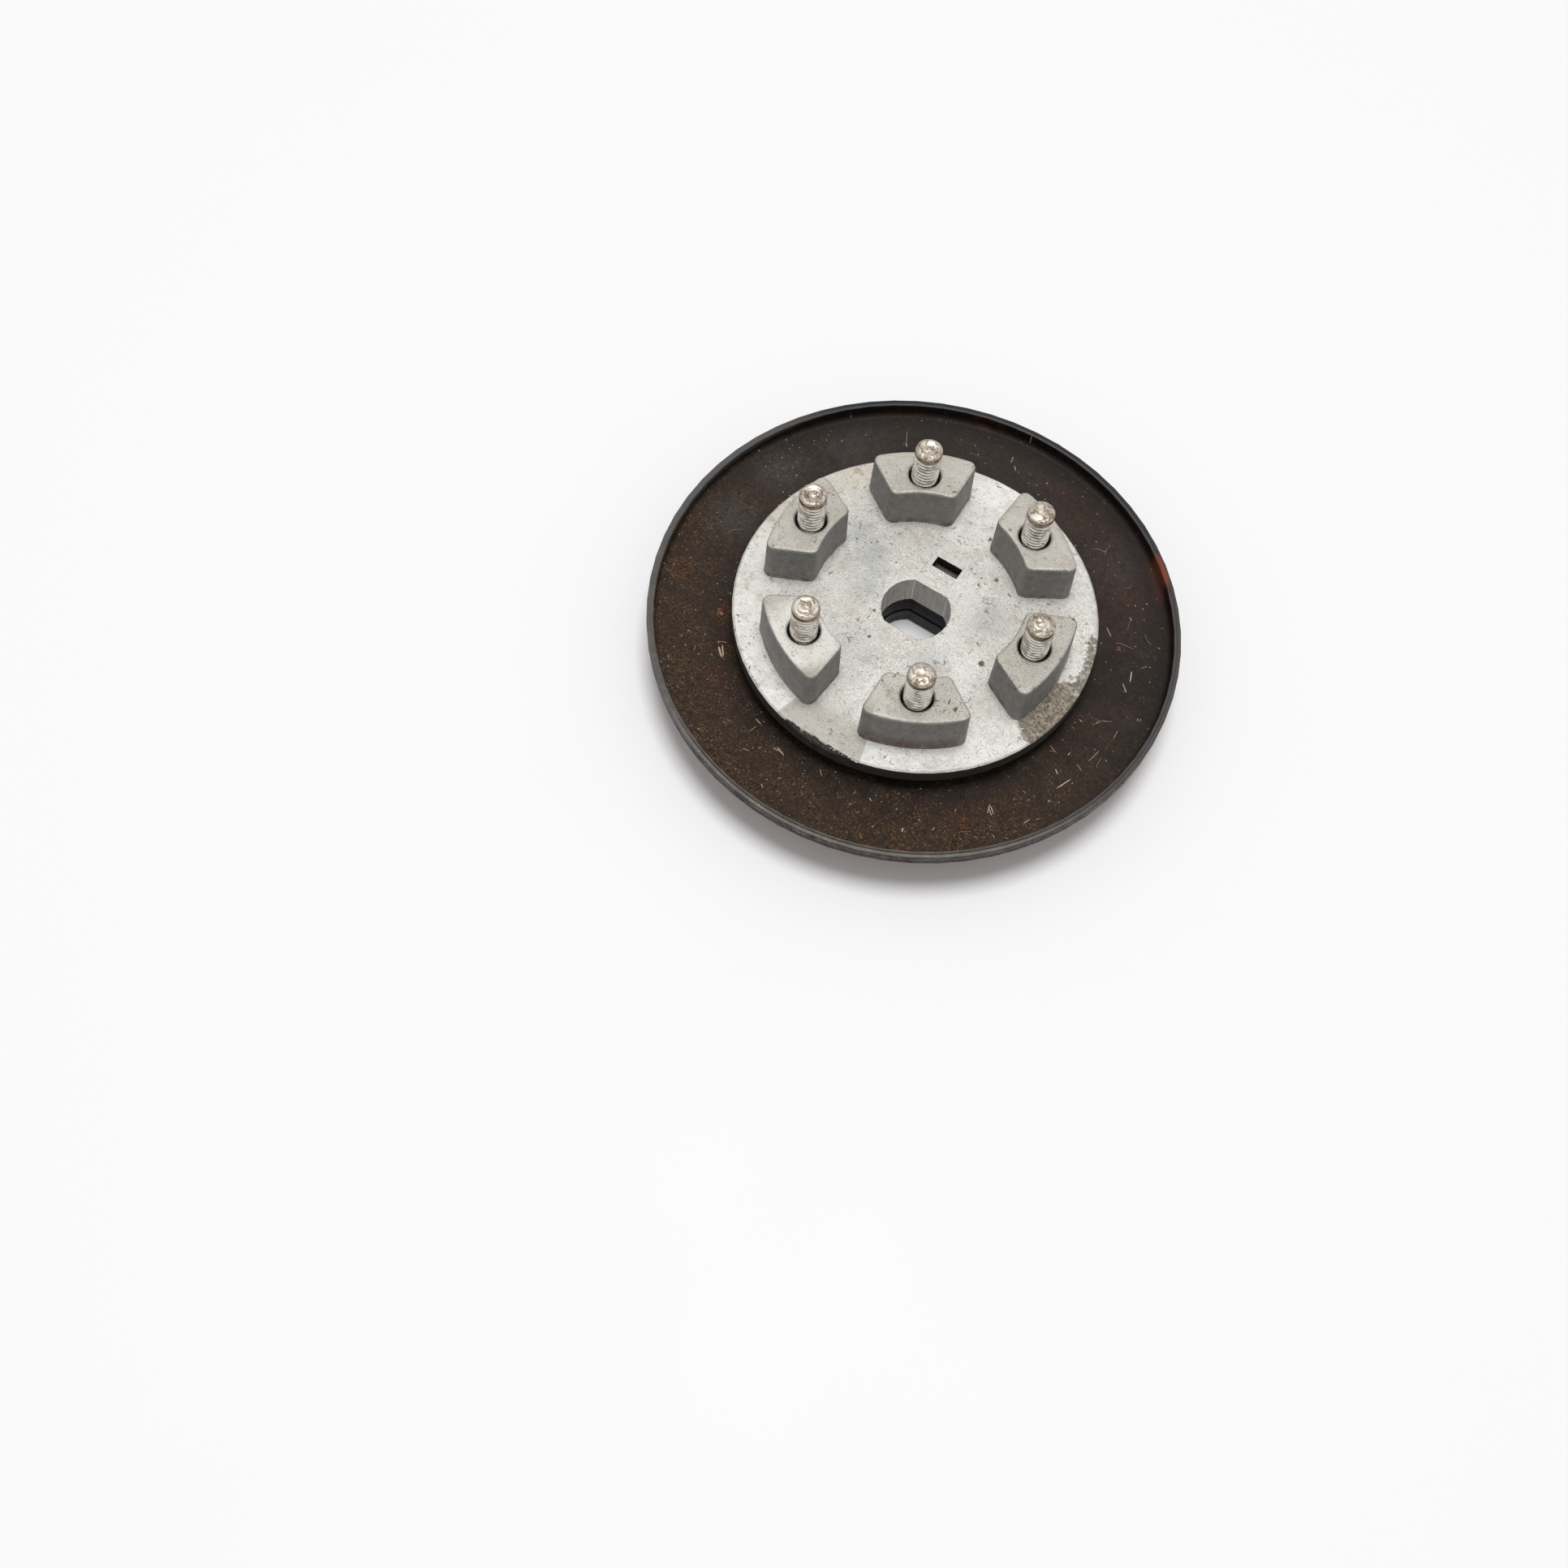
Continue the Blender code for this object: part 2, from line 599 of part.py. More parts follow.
def make_leaves():
    spring = metal("spring_steel", (0.20, 0.20, 0.21), 1.0, 0.3)
    holes = [circle((LEAF_LINE, side * LEAF_ROOT), shank_hole_radius(), ROUND_SMALL) for side in (-1, 1)]
    holes.append(circle((LEAF_LINE, LEAF_REACH), RIVET_DIAMETER / 2 + SEAT, ROUND_SMALL))
    for i, angle in enumerate(leaf_angles()):
        leaf = plate("leaf_spring_%d" % (i + 1), [leaf_outline()] + holes, LEAF_BOTTOM, LEAF_TOP)
        leaf.rotation_euler.z = angle
        add_part(leaf, spring)


# ------------------------------------------------------------------ assembly
def main():
    make_hub()
    make_pan()
    make_spacer()
    make_backing_plate()
    make_collar()
    make_key()
    make_screws()
    make_washers()
    make_leaves()
    hanger = bpy.data.objects.new("armature_axis", None)
    PARTS.objects.link(hanger)
    make_armature(hanger)
    make_rivets(hanger)
    make_stop_pads(hanger)


main()
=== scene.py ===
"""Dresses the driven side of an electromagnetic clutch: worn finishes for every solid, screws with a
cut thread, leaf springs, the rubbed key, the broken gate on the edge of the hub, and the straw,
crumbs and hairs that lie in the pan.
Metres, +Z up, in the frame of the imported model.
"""

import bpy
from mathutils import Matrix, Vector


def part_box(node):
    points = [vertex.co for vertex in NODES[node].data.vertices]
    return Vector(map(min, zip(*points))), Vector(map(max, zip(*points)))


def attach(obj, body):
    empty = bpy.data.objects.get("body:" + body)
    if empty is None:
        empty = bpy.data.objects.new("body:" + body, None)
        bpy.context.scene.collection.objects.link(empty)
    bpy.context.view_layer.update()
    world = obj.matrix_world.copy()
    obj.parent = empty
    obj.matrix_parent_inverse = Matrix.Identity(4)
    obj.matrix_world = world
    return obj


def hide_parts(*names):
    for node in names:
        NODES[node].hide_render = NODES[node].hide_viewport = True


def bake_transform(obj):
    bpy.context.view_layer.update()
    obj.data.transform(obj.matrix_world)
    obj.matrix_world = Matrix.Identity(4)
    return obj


bl_info = {
    "name": "Electromagnetic Clutch, Driven Side",
    "version": (1, 0, 0),
    "blender": (4, 5, 0),
    "location": "View3D > Sidebar > Clutch",
    "description": "Models and finishes the driven side of an electromagnetic clutch",
    "category": "Object",
}

from math import cos, pi, radians, sin, sqrt
from random import Random

import bpy
from bpy.props import FloatProperty, FloatVectorProperty, IntProperty, PointerProperty
from mathutils import Euler, Matrix, Vector

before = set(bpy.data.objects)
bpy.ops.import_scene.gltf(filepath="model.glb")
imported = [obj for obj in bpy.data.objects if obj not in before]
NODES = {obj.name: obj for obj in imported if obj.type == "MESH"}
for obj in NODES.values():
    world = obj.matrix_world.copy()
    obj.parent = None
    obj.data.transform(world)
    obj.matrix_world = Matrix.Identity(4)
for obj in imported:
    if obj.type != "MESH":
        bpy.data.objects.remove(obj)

MM = 0.001
HUB_BODY = "driven_half"

SHARP = radians(48)             # edges blunter than this are shaded smooth

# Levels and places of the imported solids; angles are turned from +X, seen from above.
BOSS_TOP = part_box("hub_casting")[1].z
PAN_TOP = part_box("pan")[1].z
SCREW_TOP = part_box("screw_1")[1].z
SCREW_NODES = ["screw_%d" % i for i in range(1, 7)]
DISC_RADIUS = 39.3 * MM
DISC_TOP = 16.4 * MM
GATE_ANGLE = -90.5              # middle of the trimmed casting gate, in degrees
GATE_HALF_ANGLE = radians(14)
NEAR_SIDE = -100                # side of the pan that the camera stands on, in degrees


def node_centre(name):
    """Middle of a solid seen from above."""
    low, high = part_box(name)
    return (low.x + high.x) / 2, (low.y + high.y) / 2


# ------------------------------------------------------------------ settings
class HubSettings(bpy.types.PropertyGroup):
    metal: FloatVectorProperty(name="Cast metal", description="Colour of the clean cast aluminium",
                               subtype="COLOR", default=(0.695, 0.677, 0.63), min=0, max=1)
    # Painted shade: this darker copy of the cast colour goes on every upright face, standing in for the
    # shade the faces lie in.
    side: FloatVectorProperty(name="Cast sides", description="Colour of the upright cast faces",
                              subtype="COLOR", default=(0.200, 0.196, 0.186), min=0, max=1)
    dirt: FloatVectorProperty(name="Dirt", description="Colour of the specks and the grime",
                              subtype="COLOR", default=(0.085, 0.052, 0.028), min=0, max=1)


class PanSettings(bpy.types.PropertyGroup):
    steel: FloatVectorProperty(name="Oiled steel", description="Colour of the oiled steel sheet",
                               subtype="COLOR", default=(0.0240, 0.0168, 0.0136), min=0, max=1)
    rust: FloatVectorProperty(name="Rust dust", description="Colour of the rust dust in the bowl",
                              subtype="COLOR", default=(0.160, 0.092, 0.048), min=0, max=1)
    rim: FloatVectorProperty(name="Worn rim", description="Colour of the bare metal on the rim",
                             subtype="COLOR", default=(0.175, 0.160, 0.147), min=0, max=1)


class ScrewSettings(bpy.types.PropertyGroup):
    diameter: FloatProperty(name="Diameter", description="Outside diameter of the thread",
                            subtype="DISTANCE", default=0.0059, min=0.001, max=0.02)
    pitch: FloatProperty(name="Pitch", description="Distance from one turn of the thread to the next",
                         subtype="DISTANCE", default=0.001, min=0.0002, max=0.003)
    turns: IntProperty(name="Turns", description="Turns of thread below the plain tip",
                       default=11, min=1, max=40)
    flats: IntProperty(name="Flats", description="Flats round one turn", default=32, min=8, max=96)
    metal: FloatVectorProperty(name="Nickel plate", description="Colour of the clean plating",
                               subtype="COLOR", default=(0.70, 0.66, 0.60), min=0, max=1)


class DebrisSettings(bpy.types.PropertyGroup):
    straw: IntProperty(name="Straw", description="Short blades of straw scattered in the pan",
                       default=60, min=0, max=400)
    crumbs: IntProperty(name="Crumbs", description="Crumbs of rust and dirt scattered in the pan",
                        default=240, min=0, max=1000)
    seed: IntProperty(name="Seed", description="Start of the random places", default=7, min=0)


class StageSettings(bpy.types.PropertyGroup):
    floor: FloatVectorProperty(name="Table", description="Colour of the table top",
                               subtype="COLOR", default=(0.925, 0.93, 0.94), min=0, max=1)
    lamp: FloatProperty(name="Lamp", description="Power of the lamp above the table in watts",
                        default=25.8, min=0, max=1000)
    sky: FloatProperty(name="Sky", description="Strength of the light from all round",
                       default=0.40, min=0, max=10)
    lens: FloatProperty(name="Focal length", description="Focal length of the camera",
                        unit="CAMERA", default=44.615, min=1, max=500)


SETTINGS = {
    "clutch_hub": HubSettings,
    "clutch_pan": PanSettings,
    "clutch_screws": ScrewSettings,
    "clutch_debris": DebrisSettings,
    "clutch_stage": StageSettings,
}


# ------------------------------------------------------------------ material helpers
class Nodes:
    """A node tree, with short calls for the nodes that the finishes and the sky are built from."""

    def __init__(self, tree):
        self.tree = tree

    def node(self, kind, **settings):
        made = self.tree.nodes.new("ShaderNode" + kind)
        for key, value in settings.items():
            setattr(made, key, value)
        return made

    def feed(self, socket, value):
        if isinstance(value, bpy.types.NodeSocket):
            self.tree.links.new(value, socket)
        elif socket.type == "RGBA":
            socket.default_value = (*value[:3], 1.0)
        else:
            socket.default_value = value

    def math(self, operation, a, b=0.0, clamp=False):
        made = self.node("Math", operation=operation, use_clamp=clamp)
        self.feed(made.inputs[0], a)
        self.feed(made.inputs[1], b)
        return made.outputs[0]

    def times(self, *values):
        result = values[0]
        for value in values[1:]:
            result = self.math("MULTIPLY", result, value)
        return result

    def plus(self, *values):
        result = values[0]
        for value in values[1:]:
            result = self.math("ADD", result, value)
        return result

    def most(self, *values):
        result = values[0]
        for value in values[1:]:
            result = self.math("MAXIMUM", result, value)
        return result

    def rest(self, share):
        """What a share leaves of 1."""
        return self.math("SUBTRACT", 1.0, share)

    def vector(self, operation, a, b=(0.0, 0.0, 0.0)):
        made = self.node("VectorMath", operation=operation)
        self.feed(made.inputs[0], a)
        self.feed(made.inputs[1], b)
        is_number = operation in ("LENGTH", "DOT_PRODUCT", "DISTANCE")
        return made.outputs["Value" if is_number else "Vector"]

    def ramp(self, value, low, high, start=0.0, end=1.0):
        """Smooth step of a value from low to high, and flat outside them."""
        made = self.node("MapRange", interpolation_type="SMOOTHSTEP")
        for socket, given in zip(made.inputs, (value, low, high, start, end)):
            self.feed(socket, given)
        return made.outputs[0]

    def blend(self, share, a, b):
        """Number between a and b."""
        made = self.node("Mix", data_type="FLOAT")
        self.feed(made.inputs[0], share)
        self.feed(made.inputs[2], a)
        self.feed(made.inputs[3], b)
        return made.outputs[0]

    def mix(self, share, a, b, blend="MIX"):
        """Colour between a and b."""
        made = self.node("Mix", data_type="RGBA", blend_type=blend)
        self.feed(made.inputs[0], share)
        self.feed(made.inputs[6], a)
        self.feed(made.inputs[7], b)
        return made.outputs[2]

    def shade(self, kind, colour, strength=1.0):
        """Shader of one plain colour that gives off light."""
        made = self.node(kind)
        self.feed(made.inputs["Color"], colour)
        self.feed(made.inputs["Strength"], strength)
        return made.outputs[0]

    def show(self, share, a, b, output):
        """Send a shader between a and b to the output node."""
        made = self.node("MixShader")
        for socket, given in zip(made.inputs, (share, a, b)):
            self.tree.links.new(given, socket)
        self.tree.links.new(made.outputs[0], output.inputs[0])

    def seen(self):
        """1 for what is seen straight, in a mirror or through glass, and 0 for what only lights the part."""
        rays = self.node("LightPath").outputs
        return self.most(rays["Is Camera Ray"], rays["Is Glossy Ray"], rays["Is Transmission Ray"])


class Finish(Nodes):
    """One material. Sizes are in metres, and everything is laid out on the object's own coordinates."""

    def __init__(self, name, metallic=0.0, roughness=0.5):
        self.material = bpy.data.materials.new(name)
        self.material.use_nodes = True
        super().__init__(self.material.node_tree)
        self.shader = self.tree.nodes["Principled BSDF"]
        self.shader.inputs["Metallic"].default_value = metallic
        self.shader.inputs["Roughness"].default_value = roughness
        where = self.node("TexCoord")
        self.point = where.outputs["Object"]
        self.facing = where.outputs["Normal"]
        parts = self.node("SeparateXYZ")
        self.feed(parts.inputs[0], self.point)
        self.x, self.y, self.z = parts.outputs
        flat = self.node("CombineXYZ")
        self.feed(flat.inputs[0], self.x)
        self.feed(flat.inputs[1], self.y)
        self.plan = flat.outputs[0]
        self.radius = self.vector("LENGTH", self.plan)

    def noise(self, size, detail=3.0, rough=0.55, twist=0.0, point=None):
        made = self.node("TexNoise")
        self.feed(made.inputs["Vector"], point or self.point)
        made.inputs["Scale"].default_value = 1 / size
        made.inputs["Detail"].default_value = detail
        made.inputs["Roughness"].default_value = rough
        made.inputs["Distortion"].default_value = twist
        return made.outputs[0]

    def moved(self, size, reach, point=None):
        """The point pushed about by a noise, for ragged outlines."""
        made = self.node("TexNoise")
        self.feed(made.inputs["Vector"], point or self.point)
        made.inputs["Scale"].default_value = 1 / size
        made.inputs["Detail"].default_value = 2.0
        centred = self.vector("SUBTRACT", made.outputs["Color"], (0.5, 0.5, 0.5))
        push = self.node("VectorMath", operation="SCALE")
        self.feed(push.inputs[0], centred)
        push.inputs["Scale"].default_value = reach
        return self.vector("ADD", point or self.point, push.outputs[0])

    def specks(self, size, share, dot, point=None):
        """Dots in some of the cells seen from above: the share that has one, and its radius in cells."""
        made = self.node("TexVoronoi", voronoi_dimensions="2D")
        self.feed(made.inputs["Vector"], point or self.point)
        made.inputs["Scale"].default_value = 1 / size
        chance = self.node("SeparateColor")
        self.feed(chance.inputs[0], made.outputs["Color"])
        kept = self.math("LESS_THAN", chance.outputs[0], share)
        reach = self.blend(chance.outputs[1], 0.4 * dot, dot)
        inside = self.math("SUBTRACT", reach, made.outputs["Distance"])
        return self.times(kept, self.ramp(inside, 0.0, dot * 0.35))

    def spot(self, x, y, inner, outer, ragged=0.0, size=2.0, strength=None):
        """Blotch round a place seen from above, in millimetres; its edge wanders by ragged over size."""
        point = self.moved(size * MM, ragged * MM, self.plan) if ragged else self.plan
        away = self.vector("DISTANCE", point, (x * MM, y * MM, 0.0))
        blotch = self.ramp(away, outer * MM, inner * MM)
        return self.times(blotch, strength) if strength else blotch

    def spots(self, places):
        return self.most(*[self.spot(*place) for place in places])

    def toward(self, angle, point=None):
        """How far a place lies from the axis in one direction, in degrees from +X."""
        way = (cos(radians(angle)), sin(radians(angle)), 0.0)
        return self.vector("DOT_PRODUCT", point or self.plan, way)

    def sector(self, angle, half, soft, point=None):
        """Wedge about the axis, angles in degrees."""
        share = self.math("DIVIDE", self.toward(angle, point), self.radius)
        return self.ramp(share, cos(radians(half + soft)), cos(radians(max(0.0, half - soft))))

    def band(self, value, low, high, soft):
        """1 between two values, falling off softly outside them."""
        rise = self.ramp(value, low - soft, low + soft)
        return self.times(rise, self.ramp(value, high + soft, high - soft))

    def by_radius(self):
        """A point that changes only with the distance from the axis, for marks that run round."""
        made = self.node("CombineXYZ")
        self.feed(made.inputs[0], self.radius)
        return made.outputs[0]

    def upright(self):
        """1 on upright faces and 0 on level ones."""
        parts = self.node("SeparateXYZ")
        self.feed(parts.inputs[0], self.facing)
        level = self.math("ABSOLUTE", parts.outputs[2])
        return self.ramp(level, 0.62, 0.25)

    def rounded(self, reach):
        """The normal as it would be with every corner rounded off."""
        made = self.node("Bevel", samples=6)
        made.inputs["Radius"].default_value = reach
        return made.outputs[0]

    def worn_edge(self, rounded, low=0.985, high=0.9):
        """1 along corners: where the rounded normal leaves the true one."""
        true = self.node("NewGeometry").outputs["Normal"]
        return self.ramp(self.vector("DOT_PRODUCT", rounded, true), low, high)

    def colour(self, value):
        self.feed(self.shader.inputs["Base Color"], value)

    def roughness(self, value):
        self.feed(self.shader.inputs["Roughness"], value)

    def metallic(self, value):
        self.feed(self.shader.inputs["Metallic"], value)

    def bump(self, *layers, over=None):
        """Adds up (height, depth in metres) pairs and turns the sum into the shader's normal."""
        made = self.node("Bump")
        made.inputs["Strength"].default_value = 1.0
        made.inputs["Distance"].default_value = 1.0
        self.feed(made.inputs["Height"], self.plus(*[self.times(height, depth) for height, depth in layers]))
        if over:
            self.feed(made.inputs["Normal"], over)
        self.feed(self.shader.inputs["Normal"], made.outputs[0])


def paint(names, finish):
    """Give the finish to CAD solids or pieces by name."""
    for name in names:
        obj = NODES.get(name) or bpy.data.objects[name]
        obj.data.materials.clear()
        obj.data.materials.append(finish.material)


# ------------------------------------------------------------------ modelling helpers
def select_none():
    if bpy.context.object and bpy.context.object.mode != "OBJECT":
        bpy.ops.object.mode_set(mode="OBJECT")
    bpy.ops.object.select_all(action="DESELECT")


def take(obj):
    """Make one object the only one selected and active."""
    select_none()
    obj.select_set(True)
    bpy.context.view_layer.objects.active = obj
    return obj


def pick(obj, kind, test):
    """In edit mode, select the vertices or faces whose place passes the test."""
    bpy.ops.mesh.select_all(action="DESELECT")
    bpy.ops.object.mode_set(mode="OBJECT")
    items = obj.data.vertices if kind == "VERT" else obj.data.polygons
    for item in items:
        place = item.co if kind == "VERT" else item.center
        item.select = test(place)
    bpy.ops.object.mode_set(mode="EDIT")
    bpy.ops.mesh.select_mode(type=kind)


def set_place(obj):
    """Put the object's place into its mesh, so that it sits at the origin."""
    take(obj)
    bpy.ops.object.transform_apply(location=True, rotation=True, scale=True)


def apply_all(obj):
    take(obj)
    for mod in list(obj.modifiers):
        bpy.ops.object.modifier_apply(modifier=mod.name)


def boolean(obj, other, operation):
    """Join another object on, or cut it out; it is used up."""
    mod = obj.modifiers.new("boolean", "BOOLEAN")
    mod.object = other
    mod.operation = operation
    mod.solver = "EXACT"
    apply_all(obj)
    bpy.data.objects.remove(other)


def dress(obj, name, finish):
    """Give a finished piece its name and its finish."""
    obj.name = name
    obj.data.name = name
    obj.data.materials.clear()
    obj.data.materials.append(finish.material)


def piece(obj, name, body, finish):
    """Dress a finished piece and let it ride on a body."""
    dress(obj, name, finish)
    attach(obj, body)


def copy_at(obj, name, move):
    """Copy with a mesh of its own, moved by a matrix."""
    twin = bpy.data.objects.new(name, obj.data.copy())
    bpy.context.scene.collection.objects.link(twin)
    twin.data.transform(move)
    return twin


def drop_on(node, x, y):
    """Height and facing of a solid's upper surface at a place seen from above."""
    start = Vector((x, y, 0.1))
    hit, place, normal, _ = NODES[node].ray_cast(start, Vector((0, 0, -1)))
    if not hit:
        raise RuntimeError("nothing of %s lies under %.4f, %.4f" % (node, x, y))
    return place.z, normal


# ------------------------------------------------------------------ hub casting
# Blotches: place, inner and outer radius, raggedness and its grain in millimetres, strength.
SMUDGES = (
    (-15.0, 6.0, 0.5, 7.0, 8.0, 4.0, 0.85), (-11.0, -0.5, 0.5, 5.0, 7.0, 4.0, 0.7),
    (-20.0, 10.5, 0.5, 6.0, 7.0, 4.0, 0.7), (14.0, 6.5, 0.5, 8.0, 8.0, 4.0, 0.6),
    (-5.0, -17.0, 1.0, 9.0, 6.0, 6.0, 0.55), (10.0, -11.0, 1.0, 7.0, 5.0, 5.0, 0.6),
)
STAINS = (
    (-13.8, 15.0, 0.5, 4.0, 3.0, 3.0), (4.0, 17.5, 0.5, 5.0, 4.0, 4.0), (30.5, 9.5, 0.5, 4.5, 2.0, 3.0),
    (-29.0, -9.0, 0.5, 5.0, 4.0, 4.0), (8.0, -26.5, 0.5, 4.5, 3.0, 3.0), (3.0, -22.0, 0.5, 3.5, 3.0, 3.0),
    (16.5, -2.5, 0.5, 3.5, 3.0, 3.0), (-19.0, 27.0, 0.5, 5.0, 3.0, 3.0),
)
LARGE_SPECKS = (
    (10.4, 16.3, 0.2, 0.7, 1.3, 0.8), (21.6, -22.0, 0.2, 0.7, 1.3, 0.8), (-7.2, -5.4, 0.2, 0.45, 0.4),
    (-4.6, -11.5, 0.2, 0.45, 0.4), (3.9, 24.5, 0.2, 0.6, 1.0, 0.8), (30.9, 10.9, 0.4, 0.9, 0.8, 0.8),
    (18.5, -3.5, 0.3, 0.9, 0.9, 0.8),
)
PALE_BOSS = (-13.5, -24.5, 6.0, 10.0)
PALE_EDGE = (0.5, 37.0, 2.0, 9.0)
RUSTY_SIDE = (16.2, -28.5, 8.0, 12.0, 4.0, 4.0)
FAR_STAIN = (142, 38, 10)       # direction, half angle and softness in degrees
MUD = (-8.0, 13.0, 4.0)
MUD_AT_EDGE = (12.0, 13.0, 5.0)
BORE_RADIUS = 8.6 * MM          # upright faces inside this belong to the bore
BORE_CORNER = 4.05 * MM         # where a flat of the bore meets its round part, from the middle


def hub_finish(settings):
    """Cast aluminium: fine grain, cool smudges, warm stains, upright faces painted dark as shade, and specks
    of dirt.
    """
    look = Finish("cast_aluminium", 0.3, 0.5)
    look.shader.inputs["Specular IOR Level"].default_value = 0.35
    grain = look.noise(0.30 * MM, 3.0, 0.7)
    mottle = look.noise(1.7 * MM, 4.0, 0.65, 0.5)
    cloud = look.noise(7 * MM, 4.0, 0.6, 0.5)
    wide = look.noise(19 * MM, 2.0, 0.5)
    up = look.upright()
    clean = look.mix(look.ramp(grain, 0.40, 0.62), settings.metal, [0.62 * c for c in settings.metal])
    clean = look.mix(look.times(look.ramp(mottle, 0.40, 0.64), 0.5), clean, (0.52, 0.50, 0.46))
    clean = look.mix(look.times(look.ramp(cloud, 0.45, 0.66), 0.6), clean, (0.54, 0.525, 0.49))
    clean = look.mix(look.times(look.ramp(wide, 0.46, 0.62), 0.40), clean, (0.76, 0.75, 0.72))
    margin = look.times(look.ramp(look.radius, 30 * MM, 37 * MM), look.ramp(mottle, 0.62, 0.42))
    clean = look.mix(look.times(margin, 0.25), clean, (0.80, 0.79, 0.76))

    smudge = look.times(look.spots(SMUDGES), look.ramp(cloud, 0.25, 0.55, 0.35, 1.0))
    clean = look.mix(smudge, clean, (0.39, 0.40, 0.40))
    poured = look.times(look.sector(GATE_ANGLE, 15.0, 0.35), look.ramp(look.radius, 29 * MM, 34 * MM))
    beside = look.times(look.sector(GATE_ANGLE, 25.0, 4.0), look.ramp(look.radius, 31 * MM, 36 * MM))
    clean = look.mix(look.times(beside, 0.5), clean, (0.78, 0.77, 0.75))
    clean = look.mix(look.times(poured, 0.75), clean, (0.36, 0.34, 0.30))
    # Painted light: the boss tops are multiplied darker, so the face between the bosses is painted lighter
    # than the tops to make up for the shade the bosses cast on it.
    raised = look.ramp(look.z, DISC_TOP + 5 * MM, BOSS_TOP - 0.5 * MM)
    clean = look.mix(raised, clean, (0.75, 0.73, 0.70), "MULTIPLY")
    pale = look.times(look.spot(*PALE_BOSS), raised, 0.55)
    pale = look.most(pale, look.times(look.spot(*PALE_EDGE), 0.6))
    clean = look.mix(pale, clean, (0.80, 0.79, 0.75))

    brownish = look.ramp(look.noise(2.6 * MM, 5.0, 0.7, 0.6), 0.50, 0.64)
    far_rim = look.times(look.band(look.radius, 33 * MM, 39.5 * MM, 2 * MM), look.sector(*FAR_STAIN))
    stain = look.most(look.times(far_rim, 0.9), look.spots(STAINS), 0.32)
    surface = look.mix(look.times(far_rim, 0.45), clean, (0.46, 0.39, 0.29))
    surface = look.mix(look.times(stain, brownish, 0.75), surface, (0.30, 0.225, 0.14))

    crooked = look.moved(3 * MM, 3 * MM, look.plan)
    muddy = look.most(
        look.times(look.sector(*MUD, crooked), look.ramp(look.radius, 31.0 * MM, 34.0 * MM)),
        look.times(look.sector(*MUD_AT_EDGE, crooked), look.ramp(look.radius, 35.8 * MM, 38.4 * MM), 0.85),
    )
    muddy = look.times(muddy, look.ramp(look.z, DISC_TOP + 1.5 * MM, DISC_TOP + 0.3 * MM))
    muddy = look.ramp(look.plus(look.noise(1.1 * MM, 4.0, 0.7, 0.4), look.times(muddy, 0.42)), 0.68, 0.86)
    damp = look.ramp(look.noise(0.9 * MM, 4.0, 0.75), 0.40, 0.56)
    mud = look.mix(damp, (0.33, 0.27, 0.17), (0.065, 0.047, 0.026))
    surface = look.mix(look.times(muddy, 0.8), surface, mud)

    patchy = look.ramp(look.noise(6 * MM, 3.0), 0.40, 0.62, 0.25, 1.0)
    pepper = look.specks(0.75 * MM, 0.45, 0.20, look.moved(0.5 * MM, 0.45 * MM))
    blots = look.times(look.ramp(look.noise(1.2 * MM, 4.0, 0.7, 0.8), 0.605, 0.650), patchy)
    turned = look.node("Mapping")
    look.feed(turned.inputs["Vector"], look.plan)
    turned.inputs["Rotation"].default_value = (0.0, 0.0, radians(35))
    turned.inputs["Scale"].default_value = (0.30, 1.0, 1.0)
    hairs = look.noise(0.9 * MM, 1.0, 0.5, 2.4, turned.outputs[0])
    hairs = look.times(look.ramp(hairs, 0.735, 0.765), patchy, 0.6)
    large = look.times(look.spots(LARGE_SPECKS), 0.9)
    speck = look.most(look.times(pepper, 0.55), look.times(blots, 0.8), hairs, large)
    speck_colour = look.mix(look.ramp(look.noise(4 * MM), 0.45, 0.58), settings.dirt, (0.045, 0.040, 0.036))
    surface = look.mix(speck, surface, speck_colour)

    drag = look.node("Mapping")
    look.feed(drag.inputs["Vector"], look.point)
    drag.inputs["Scale"].default_value = (1.0, 1.0, 0.15)
    streak = look.noise(0.6 * MM, 2.0, 0.6, point=drag.outputs[0])
    # Painted shade: upright faces start from the darker side colour; streaks, blots, dirt at the foot and
    # rust go on top.
    side = look.mix(look.ramp(mottle, 0.36, 0.66), settings.side, [1.35 * c for c in settings.side])
    side = look.mix(look.times(look.ramp(streak, 0.35, 0.7), 0.3), side, [0.8 * c for c in settings.side])
    side = look.mix(look.times(blots, 0.7), side, (0.05, 0.04, 0.03))
    above = look.math("SUBTRACT", look.z, DISC_TOP)
    # Painted light: the lowest millimetre of the upright faces is painted lighter, standing in for a foot
    # fillet turning up to the light.
    side = look.mix(look.times(look.ramp(above, 1.2 * MM, 0.2 * MM), 0.5), side, (0.33, 0.32, 0.30))
    foot = look.ramp(look.noise(1.8 * MM, 4.0, 0.7), 0.46, 0.62)
    foot = look.times(look.band(above, 0.0, 1.3 * MM, 0.5 * MM), foot, 0.75)
    side = look.mix(foot, side, (0.10, 0.055, 0.03))
    rusty = look.times(look.spot(*RUSTY_SIDE), look.ramp(above, 5.2 * MM, 1.8 * MM))
    rusty = look.times(rusty, look.ramp(mottle, 0.35, 0.55, 0.35, 1.0), 0.8)
    side = look.mix(rusty, side, (0.095, 0.050, 0.032))
    # Painted shade: upright faces below the disc face, the outer edge of the disc above all, are painted
    # near black.
    side = look.mix(look.ramp(above, 0.0, -0.5 * MM), side, (0.035, 0.03, 0.027))
    bore = look.ramp(look.radius, BORE_RADIUS + 0.2 * MM, BORE_RADIUS - 0.2 * MM)
    bore = look.times(bore, look.ramp(streak, 0.3, 0.7, 0.75, 1.0))
    side = look.mix(bore, side, (0.72, 0.69, 0.655))
